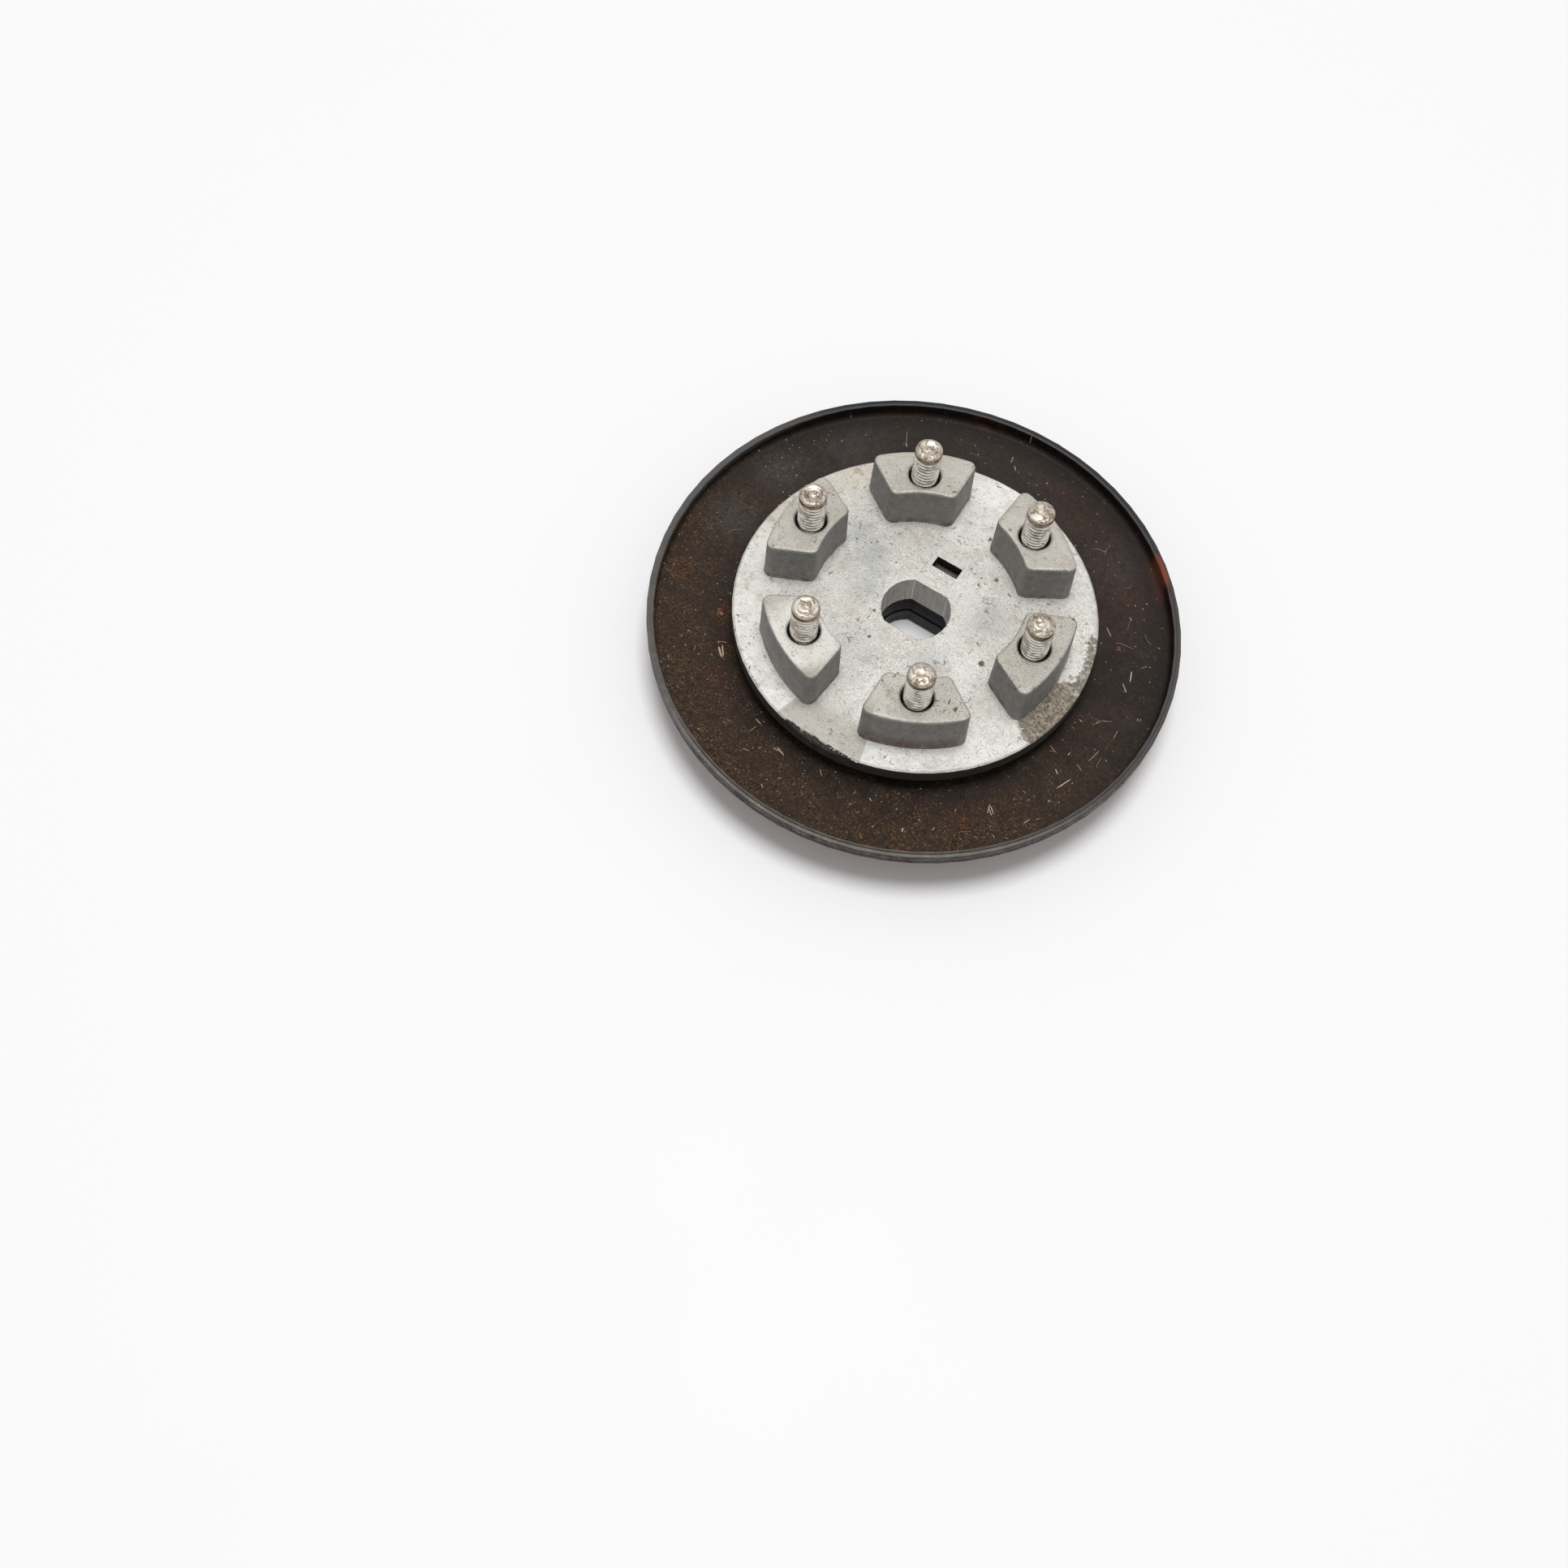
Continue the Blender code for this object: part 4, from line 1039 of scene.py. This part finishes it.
def screw_thread(settings):
    """Closed helical ridge that stands on the core."""
    crest = settings.diameter / 2
    section = [(depth, -height) for depth, height in RIDGE] + list(reversed(RIDGE))
    bpy.ops.mesh.primitive_circle_add(vertices=len(section), radius=1, fill_type="NGON")
    ridge = bpy.context.object
    for vertex, (depth, height) in zip(ridge.data.vertices, section):
        vertex.co = (crest - depth, 0.0, THREAD_START + height * settings.pitch)
    turn = ridge.modifiers.new("thread", "SCREW")
    turn.angle = 2 * pi
    turn.screw_offset = -settings.pitch
    turn.iterations = settings.turns
    turn.steps = settings.flats
    turn.render_steps = settings.flats
    apply_all(ridge)
    return ridge


# Ends of the screws from the collar up: radius and distance below the top in millimetres.
TIPS = {
    "screw_1": ((2.90, 0.72), (2.62, 0.48), (2.10, 0.38), (1.85, 0.10), (1.68, 0.0), (1.00, 0.02),
                (0.85, 0.14), (0.45, 0.14), (0.35, 0.04)),
    "screw_2": ((2.88, 0.66), (2.55, 0.42), (2.15, 0.34), (1.85, 0.12), (1.45, 0.0), (0.95, 0.12),
                (0.40, 0.04)),
    "screw_3": ((2.86, 0.60), (2.62, 0.34), (2.25, 0.14), (2.00, 0.06), (1.75, 0.16), (1.20, 0.40),
                (0.60, 0.34), (0.25, 0.0)),
    "screw_4": ((2.86, 0.62), (2.60, 0.40), (2.25, 0.30), (2.00, 0.34), (1.70, 0.62), (1.30, 0.66),
                (1.05, 0.24), (0.70, 0.0)),
    "screw_5": ((2.84, 0.58), (2.52, 0.36), (2.10, 0.28), (1.75, 0.42), (1.20, 0.50), (0.85, 0.30),
                (0.55, 0.06), (0.20, 0.0)),
    "screw_6": ((2.86, 0.60), (2.58, 0.34), (2.20, 0.20), (1.85, 0.16), (1.40, 0.04), (0.95, 0.0),
                (0.75, 0.12), (0.30, 0.14)),
}

# Cuts in the ends: turn in degrees, distance from the axis, radius and depth of the cut in millimetres.
TIP_CUTS = {
    "screw_2": ((40, 1.3, 0.7, 0.26), (190, 1.0, 0.6, 0.22)),
    "screw_3": ((-60, 1.9, 0.6, 0.24), (90, 1.7, 0.5, 0.20)),
    "screw_4": ((20, 0.9, 0.62, 0.55), (140, 0.85, 0.58, 0.45), (255, 1.0, 0.45, 0.4)),
    "screw_5": ((60, 0.75, 0.35, 0.3),),
}


def shape_tip(screw, levels):
    """Draw the end of one screw up from its collar, about its own axis."""
    take(screw)
    bpy.ops.object.mode_set(mode="EDIT")
    bpy.ops.mesh.select_mode(type="FACE")
    pick(screw, "FACE", lambda c: c.z > COLLAR_TOP - NEARLY)
    crest = bpy.context.scene.clutch_screws.diameter / 2
    turn_up([(crest, COLLAR_TOP)] + [(radius * MM, SCREW_TOP - drop * MM) for radius, drop in levels])
    bpy.ops.object.mode_set(mode="OBJECT")


def cut_tip(screw, cuts):
    """Break pieces out of the end of one screw, about its own axis."""
    for degrees, offset, radius, depth in cuts:
        angle = radians(degrees)
        place = (offset * cos(angle) * MM, offset * sin(angle) * MM, SCREW_TOP + (radius - depth) * MM)
        bpy.ops.mesh.primitive_ico_sphere_add(
            subdivisions=1, radius=radius * MM, rotation=(angle, 2 * angle, 0), location=place)
        boolean(screw, bpy.context.object, "DIFFERENCE")


END_BELOW = SCREW_TOP - 1.97 * MM      # points above this belong to the collar and the end
CUP_RADIUS = 2.02 * MM
CUP_BLACK = 1.4 * MM            # points this deep in the cup are painted fully dark
ROOT_BLACK = 0.55 * MM          # and so are points this deep in a thread


def mark_depth(obj, x, y, settings):
    """Store how deep each point lies under the crest of the thread or in the cup of the end, 0 to 1."""
    crest = settings.diameter / 2
    depth = obj.data.attributes.new("depth", "FLOAT", "POINT")
    for vertex, value in zip(obj.data.vertices, depth.data):
        away = Vector((vertex.co.x - x, vertex.co.y - y)).length
        cup = (SCREW_TOP - vertex.co.z) / CUP_BLACK if away < CUP_RADIUS else 0.0
        thread = (crest - away) / ROOT_BLACK
        value.value = max(0.0, min(1.0, thread if vertex.co.z < END_BELOW else cup))


class CLUTCH_OT_screws(bpy.types.Operator):
    """Model the six screws with a cut thread and their own battered ends"""
    bl_idname = "clutch.screws"
    bl_label = "Screws"

    def execute(self, context):
        settings = context.scene.clutch_screws
        finish = screw_finish(settings)
        select_none()
        core = screw_core(settings)
        select_none()
        boolean(core, screw_thread(settings), "UNION")
        for i, node in enumerate(SCREW_NODES):
            x, y = node_centre(node)
            screw = copy_at(core, node + "_threaded", Matrix.Rotation(radians(47 * i), 4, "Z"))
            shape_tip(screw, TIPS[node])
            cut_tip(screw, TIP_CUTS.get(node, ()))
            screw.data.transform(Matrix.Translation((x, y, 0)))
            mark_depth(screw, x, y, settings)
            take(screw)
            bpy.ops.object.shade_smooth_by_angle(angle=SHARP)
            piece(screw, node + "_threaded", HUB_BODY, finish)
            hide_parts(node)
        bpy.data.objects.remove(core)
        return {"FINISHED"}


# ------------------------------------------------------------------ broken gate and debris
def gather(shape, copies, name, finish):
    """Join the copies of a shape into one piece of the driven half; the shape itself is used up."""
    bpy.data.objects.remove(shape)
    select_none()
    for copy in copies:
        copy.select_set(True)
    bpy.context.view_layer.objects.active = copies[0]
    bpy.ops.object.join()
    joined = bpy.context.object
    set_place(joined)
    piece(joined, name, HUB_BODY, finish)


def tone_of(obj, value):
    """Store one shade for all of a small piece, before it is joined to others."""
    tone = obj.data.attributes.new("tone", "FLOAT", "POINT")
    tone.data.foreach_set("value", [value] * len(obj.data.vertices))


def crumb_shape(draw):
    """Angular crumb about 1 m across, to be copied at its real size."""
    bpy.ops.mesh.primitive_ico_sphere_add(subdivisions=1, radius=0.5, location=(0, 0, 0))
    crumb = bpy.context.object
    bpy.ops.object.mode_set(mode="EDIT")
    bpy.ops.mesh.subdivide(number_cuts=1, fractal=0.9, seed=draw.randrange(1000))
    bpy.ops.object.mode_set(mode="OBJECT")
    return crumb


def blade_shape():
    """Thin bent blade of straw 1 m long, to be copied at its real size."""
    bpy.ops.mesh.primitive_grid_add(x_subdivisions=6, y_subdivisions=1, size=1.0, location=(0, 0, 0))
    blade = bpy.context.object
    bpy.ops.object.mode_set(mode="EDIT")
    for end in (-0.5, 0.5):
        pick(blade, "VERT", lambda c: abs(c.x - end) < 0.01)
        bpy.ops.transform.resize(value=(1, 0.35, 1), center_override=(end, 0, 0))
    bpy.ops.object.mode_set(mode="OBJECT")
    for vertex in blade.data.vertices:
        vertex.co.z = 0.25 - vertex.co.x ** 2
        vertex.co.y += 0.5 * vertex.co.x ** 2
    wall = blade.modifiers.new("thickness", "SOLIDIFY")
    wall.thickness = 0.3
    wall.offset = 0
    apply_all(blade)
    return blade


def lay(shape, x, y, turn, size, lift):
    """Copy of a shape at its size, laid on the hub or the pan; its middle lies lift of its height above."""
    node = "hub_casting" if Vector((x, y)).length < DISC_RADIUS else "pan"
    height, normal = drop_on(node, x, y)
    lean = Vector((0, 0, 1)).rotation_difference(normal).to_matrix().to_4x4()
    place = Matrix.Translation((x, y, height + size[2] * lift))
    spin = Matrix.Rotation(turn, 4, "Z")
    return copy_at(shape, "copy", place @ lean @ spin @ Matrix.Diagonal((*size, 1)))


def strand_shape():
    """Thin hair 1 m long in a loose S, to be copied at its real size."""
    bpy.ops.curve.primitive_bezier_curve_add(radius=0.5, location=(0, 0, 0))
    strand = bpy.context.object
    strand.data.bevel_depth = 0.016
    strand.data.bevel_resolution = 0
    strand.data.resolution_u = 10
    strand.data.use_fill_caps = True
    bpy.ops.object.convert(target="MESH")
    return bpy.context.object


# Blades that stand out: place in millimetres, turn in degrees, length and width in millimetres, shade.
BLADES = (
    (45.4, 15.9, 112, 2.3, 0.42, 0.9), (45.6, 12.7, -43, 2.1, 0.36, 0.7),
    (35.9, 23.4, -38, 2.2, 0.34, 0.55), (48.3, -5.6, 80, 3.0, 0.22, 0.6),
    (46.3, -14.9, 69, 3.2, 0.36, 0.95), (36.3, -28.8, 109, 1.9, 0.30, 0.9),
    (36.9, -28.5, 138, 1.7, 0.30, 0.95), (37.0, -29.3, -44, 1.5, 0.28, 0.85),
    (43.6, -13.1, -42, 1.2, 0.36, 1.0), (46.7, 19.4, 52, 1.2, 0.24, 0.6), (45.0, 2.1, 62, 1.3, 0.24, 0.6),
    (46.1, 3.2, 20, 1.0, 0.22, 0.6), (-30.6, -29.2, -42, 2.3, 0.60, 1.0),
    (-30.3, -28.6, -52, 2.4, 0.45, 0.9), (-31.6, -26.8, 30, 1.7, 0.16, 0.8),
    (-6.6, -41.9, -23, 1.9, 0.40, 0.95), (-7.6, -42.1, 6, 1.6, 0.5, 0.35),
    (-14.4, -38.6, -14, 1.4, 0.34, 0.75), (-12.5, -46.0, 16, 1.2, 0.3, 0.4),
    (3.0, -41.2, -44, 1.4, 0.26, 0.6), (-14.3, -40.9, 78, 2.0, 0.26, 0.35),
    (-27.5, 41.7, 118, 2.6, 0.22, 0.35), (-26.5, 40.0, -47, 0.9, 0.5, 0.4),
    (-4.5, 50.2, 105, 1.3, 0.34, 0.55), (-2.8, 48.7, -46, 1.0, 0.4, 0.55),
    (40.3, -8.6, -25, 2.0, 0.28, 0.4), (47.1, -9.7, -30, 1.6, 0.3, 0.3), (49.6, 1.5, 96, 1.8, 0.24, 0.45),
    (44.4, -27.0, 70, 1.4, 0.3, 0.7), (24.2, -43.2, 114, 0.8, 0.5, 1.0),
)

# Heaps of crumbs: place in millimetres, spread, number, largest crumb in millimetres, shade.
HEAPS = (
    (39.6, 20.5, 0.8, 9, 0.9, 0.25), (42.0, 1.6, 1.1, 12, 0.7, 0.2), (42.6, 3.0, 0.9, 7, 0.6, 0.3),
    (33.5, 35.0, 0.7, 7, 0.6, 0.6), (34.2, 33.9, 0.5, 4, 0.5, 0.5), (-36.0, -20.9, 0.9, 12, 1.0, 0.75),
    (-36.6, -22.4, 1.2, 7, 0.5, 0.6), (-7.9, -41.6, 0.9, 8, 0.7, 0.25), (47.1, -9.7, 0.8, 6, 0.4, 0.25),
    (44.1, -27.9, 0.9, 6, 0.4, 0.5), (21.0, -42.4, 1.6, 7, 0.45, 0.4), (50.5, -13.0, 1.0, 5, 0.4, 0.3),
    (-13.2, -40.6, 1.2, 6, 0.6, 0.2), (46.5, 23.3, 1.2, 5, 0.4, 0.45), (36.3, -3.5, 2.6, 26, 0.45, 0.15),
    (36.2, -8.3, 2.4, 22, 0.5, 0.2), (35.2, -11.5, 2.0, 14, 0.4, 0.25), (37.2, 4.5, 1.6, 12, 0.35, 0.15),
    (37.4, 10.5, 1.2, 7, 0.3, 0.2),
)


def straw_finish():
    """Dry straw, from brown to cream by blade, with fibres along it."""
    look = Finish("straw", 0.0, 0.7)
    tone = look.node("Attribute", attribute_name="tone").outputs["Fac"]
    fibre = look.noise(0.15 * MM, 3.0, 0.7)
    base = look.mix(tone, (0.13, 0.06, 0.025), (0.60, 0.50, 0.35))
    base = look.mix(look.times(look.ramp(fibre, 0.45, 0.7), 0.5), base, (0.24, 0.15, 0.07))
    look.colour(base)
    look.roughness(look.ramp(fibre, 0.3, 0.7, 0.6, 0.85))
    look.bump((fibre, 0.02 * MM))
    return look


def crumb_finish():
    """Crumbs of rust and dirt, from near black to orange by crumb."""
    look = Finish("rust_crumbs", 0.0, 0.85)
    tone = look.node("Attribute", attribute_name="tone").outputs["Fac"]
    grit = look.noise(0.2 * MM, 4.0, 0.7)
    base = look.mix(tone, (0.055, 0.028, 0.018), (0.38, 0.16, 0.045))
    base = look.mix(look.times(look.ramp(grit, 0.4, 0.7), 0.6), base, (0.10, 0.045, 0.02))
    look.colour(base)
    look.roughness(look.ramp(grit, 0.3, 0.7, 0.75, 0.95))
    look.bump((grit, 0.03 * MM))
    return look


def scar_finish():
    """Freshly broken casting: dark pores between bright torn corners."""
    look = Finish("broken_casting", 0.6, 0.5)
    torn = look.noise(0.45 * MM, 4.0, 0.7)
    base = look.mix(look.ramp(torn, 0.35, 0.62), (0.09, 0.085, 0.078), (0.58, 0.57, 0.55))
    # Painted shade: the upright faces of the lumps are painted darker.
    base = look.mix(look.times(look.upright(), 0.7), base, (0.06, 0.055, 0.05))
    look.colour(base)
    look.roughness(look.ramp(torn, 0.3, 0.7, 0.75, 0.4))
    look.bump((torn, 0.08 * MM))
    return look


LUMPS = 26


class CLUTCH_OT_gate_scar(bpy.types.Operator):
    """Model the torn lumps of metal along the trimmed edge of the hub"""
    bl_idname = "clutch.gate_scar"
    bl_label = "Broken Gate"

    def execute(self, context):
        draw = Random(context.scene.clutch_debris.seed)
        select_none()
        shape = crumb_shape(draw)
        chord = DISC_RADIUS * cos(GATE_HALF_ANGLE)
        half = DISC_RADIUS * sin(GATE_HALF_ANGLE)
        spin = Matrix.Rotation(radians(GATE_ANGLE), 4, "Z")
        lumps = []
        for _ in range(LUMPS):
            along = half * (1 - 1.5 * draw.random() ** 1.6)
            size = draw.uniform(0.3, 0.85) * MM
            out = draw.uniform(0.0, 0.7) * MM * (1 - (along / half) ** 2)
            place = Vector((chord + out, along, DISC_TOP - out * 0.78 - 0.36 * size))
            turn = Euler([draw.uniform(0, 2 * pi) for _ in range(3)]).to_matrix().to_4x4()
            flat = Matrix.Diagonal((size * 0.8, size * 1.3, size * 0.7, 1))
            lumps.append(copy_at(shape, "lump", spin @ Matrix.Translation(place) @ flat @ turn))
        gather(shape, lumps, "gate_scar", scar_finish())
        return {"FINISHED"}


# Hairs: place in millimetres, turn in degrees, length and swing in millimetres, shade.
STRANDS = (
    (24.0, 40.4, 20, 3.2, 3.4, 0.55), (25.4, 41.6, 95, 2.6, 2.8, 0.5), (-45.3, -1.8, 60, 3.0, 3.6, 0.35),
    (40.5, 22.0, 10, 4.0, 3.0, 0.6), (38.5, 27.5, -70, 3.4, 2.2, 0.5), (44.0, 26.0, 150, 2.8, 3.2, 0.45),
    (46.0, 3.0, 35, 3.4, 3.0, 0.5), (12.5, -44.0, 80, 2.6, 2.2, 0.5), (-20.0, -42.5, 25, 2.8, 2.4, 0.4),
    (50.0, -6.5, 100, 2.4, 2.6, 0.55), (-12.0, 46.5, 10, 3.0, 2.6, 0.4), (35.0, -36.5, 45, 2.6, 2.4, 0.5),
)


class CLUTCH_OT_debris(bpy.types.Operator):
    """Strew the pan with straw, crumbs of rust and a few hairs"""
    bl_idname = "clutch.debris"
    bl_label = "Straw, Crumbs and Hairs"

    def execute(self, context):
        settings = context.scene.clutch_debris
        draw = Random(settings.seed)
        dry = straw_finish()
        self.strew_straw(settings, draw, dry)
        self.strew_hairs(dry)
        self.strew_crumbs(settings, draw)
        return {"FINISHED"}

    def strew_straw(self, settings, draw, finish):
        """The blades that stand out, then small ones, most of them on the near side."""
        select_none()
        shape = blade_shape()
        blades = []
        for x, y, turn, length, width, tone in BLADES:
            size = (length * MM, 0.58 * width * MM, 0.16 * MM)
            blades.append(lay(shape, x * MM, y * MM, radians(turn), size, 0.12))
            tone_of(blades[-1], 0.8 * tone)
        for _ in range(settings.straw):
            angle = radians(draw.gauss(-70, 75))
            reach = draw.uniform(41, 54) * MM
            size = (draw.uniform(0.25, 0.9) * MM, draw.uniform(0.09, 0.17) * MM, 0.10 * MM)
            x, y = reach * cos(angle), reach * sin(angle)
            blades.append(lay(shape, x, y, draw.uniform(0, pi), size, 0.12))
            tone_of(blades[-1], draw.random() ** 1.5)
        gather(shape, blades, "straw_blades", finish)

    def strew_hairs(self, finish):
        select_none()
        shape = strand_shape()
        hairs = []
        for x, y, turn, length, swing, tone in STRANDS:
            size = (length * MM, swing * MM, 1.8 * MM)
            hairs.append(lay(shape, x * MM, y * MM, radians(turn), size, 0.03))
            tone_of(hairs[-1], tone)
        gather(shape, hairs, "loose_hairs", finish)

    def strew_crumbs(self, settings, draw):
        """The heaps, then single crumbs, most of them on the near side."""
        select_none()
        shape = crumb_shape(draw)
        crumbs = []
        for x, y, spread, number, largest, tone in HEAPS:
            for _ in range(number):
                width = largest * draw.uniform(0.3, 1.0) * MM
                size = (width, width * draw.uniform(0.5, 1.0), width * draw.uniform(0.35, 0.6))
                place = [(middle + draw.gauss(0, spread * 0.5)) * MM for middle in (x, y)]
                crumbs.append(lay(shape, *place, draw.uniform(0, 2 * pi), size, 0.4))
                tone_of(crumbs[-1], tone * draw.uniform(0.4, 1.3))
        for _ in range(settings.crumbs):
            angle = radians(draw.gauss(-80, 80))
            reach = draw.uniform(40.5, 55) * MM
            width = draw.uniform(0.09, 0.30) * MM
            size = (width, width * draw.uniform(0.5, 1.0), width * 0.5)
            x, y = reach * cos(angle), reach * sin(angle)
            crumbs.append(lay(shape, x, y, draw.uniform(0, 2 * pi), size, 0.4))
            tone_of(crumbs[-1], draw.random() ** 2)
        gather(shape, crumbs, "rust_crumbs", crumb_finish())


# ------------------------------------------------------------------ stage
WHITE = (0.97, 0.975, 0.985)    # background, and the table far from the part
SKY_TINT = (1.0, 0.988, 0.97)
TABLE_SIZE = 8.0
LAMP_PLACE = (-0.03, 0.06, 2.0)
LAMP_SIZE = 0.8
CAMERA_PLACE = (85.6 * MM, -208.8 * MM, 367.9 * MM)
CAMERA_TURNS = ((28.5, "Z"), (27.054, "X"), (5.596, "Z"))      # degrees, the last one first
FILM_WIDTH = 36.0


def table_finish(colour):
    """White table top with a faint unevenness in its gloss, as white as the sky far from the part."""
    look = Finish("table_top", 0.0, 0.5)
    look.shader.inputs["Specular IOR Level"].default_value = 0.10
    look.colour(colour)
    look.roughness(look.ramp(look.noise(0.08, 2.0), 0.3, 0.7, 0.45, 0.6))
    lifted = look.times(look.seen(), look.ramp(look.radius, 0.3, 1.0, 0.06, 1.0))
    white = look.shade("Emission", WHITE)
    look.show(lifted, look.shader.outputs[0], white, look.tree.nodes["Material Output"])
    return look


def light_world(strength):
    """Light from all round that fades towards the horizon, in front of a white background."""
    world = bpy.context.scene.world or bpy.data.worlds.new("sky")
    bpy.context.scene.world = world
    world.use_nodes = True
    look = Nodes(world.node_tree)
    look.tree.nodes.clear()
    height = look.node("SeparateXYZ")
    look.feed(height.inputs[0], look.node("TexCoord").outputs["Generated"])
    strength = look.ramp(height.outputs[2], -0.05, 0.95, 0.80 * strength, 1.12 * strength)
    light = look.shade("Background", SKY_TINT, strength)
    look.show(look.seen(), light, look.shade("Background", WHITE), look.node("OutputWorld"))


class CLUTCH_OT_stage(bpy.types.Operator):
    """Lay the white table and hang the soft lamp"""
    bl_idname = "clutch.stage"
    bl_label = "Table and Light"

    def execute(self, context):
        settings = context.scene.clutch_stage
        select_none()
        bpy.ops.mesh.primitive_plane_add(size=TABLE_SIZE, location=(0, 0, 0))
        floor = context.object
        floor.name = "table"
        floor.data.materials.append(table_finish(settings.floor).material)
        bpy.ops.object.light_add(type="AREA", location=LAMP_PLACE)
        lamp = context.object
        lamp.name = "soft_lamp"
        lamp.data.shape = "DISK"
        lamp.data.size = LAMP_SIZE
        lamp.data.energy = settings.lamp
        lamp.rotation_euler = (-Vector(LAMP_PLACE)).to_track_quat("-Z", "Y").to_euler()
        light_world(settings.sky)
        context.scene.view_settings.view_transform = "Standard"
        return {"FINISHED"}


class CLUTCH_OT_camera(bpy.types.Operator):
    """Set the camera at the view from above"""
    bl_idname = "clutch.camera"
    bl_label = "Camera"

    def execute(self, context):
        select_none()
        turn = Matrix.Identity(4)
        for degrees, axis in CAMERA_TURNS:
            turn = turn @ Matrix.Rotation(radians(degrees), 4, axis)
        bpy.ops.object.camera_add(location=CAMERA_PLACE, rotation=turn.to_euler())
        camera = context.object
        camera.name = "camera"
        camera.data.sensor_width = FILM_WIDTH
        camera.data.lens = context.scene.clutch_stage.lens
        camera.data.clip_start = 0.01
        camera.data.clip_end = 50.0
        context.scene.camera = camera
        return {"FINISHED"}


# ------------------------------------------------------------------ panel and registration
OPERATORS = (
    CLUTCH_OT_hub,
    CLUTCH_OT_pan,
    CLUTCH_OT_plates,
    CLUTCH_OT_key,
    CLUTCH_OT_washers,
    CLUTCH_OT_leaf_springs,
    CLUTCH_OT_armature,
    CLUTCH_OT_screws,
    CLUTCH_OT_gate_scar,
    CLUTCH_OT_debris,
    CLUTCH_OT_stage,
    CLUTCH_OT_camera,
)


class CLUTCH_PT_tools(bpy.types.Panel):
    bl_label = "Clutch"
    bl_idname = "CLUTCH_PT_tools"
    bl_space_type = "VIEW_3D"
    bl_region_type = "UI"
    bl_category = "Clutch"

    def draw(self, context):
        for name, group in SETTINGS.items():
            box = self.layout.box()
            for prop in group.__annotations__:
                box.prop(getattr(context.scene, name), prop)
        for operator in OPERATORS:
            self.layout.operator(operator.bl_idname)


def register():
    for cls in (*SETTINGS.values(), *OPERATORS, CLUTCH_PT_tools):
        bpy.utils.register_class(cls)
    for name, group in SETTINGS.items():
        setattr(bpy.types.Scene, name, PointerProperty(type=group))


def unregister():
    for name in SETTINGS:
        delattr(bpy.types.Scene, name)
    for cls in reversed((*SETTINGS.values(), *OPERATORS, CLUTCH_PT_tools)):
        bpy.utils.unregister_class(cls)


def main():
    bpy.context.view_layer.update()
    register()
    for operator in OPERATORS:
        family, action = operator.bl_idname.split(".")
        getattr(getattr(bpy.ops, family), action)()


if __name__ == "__main__":
    main()
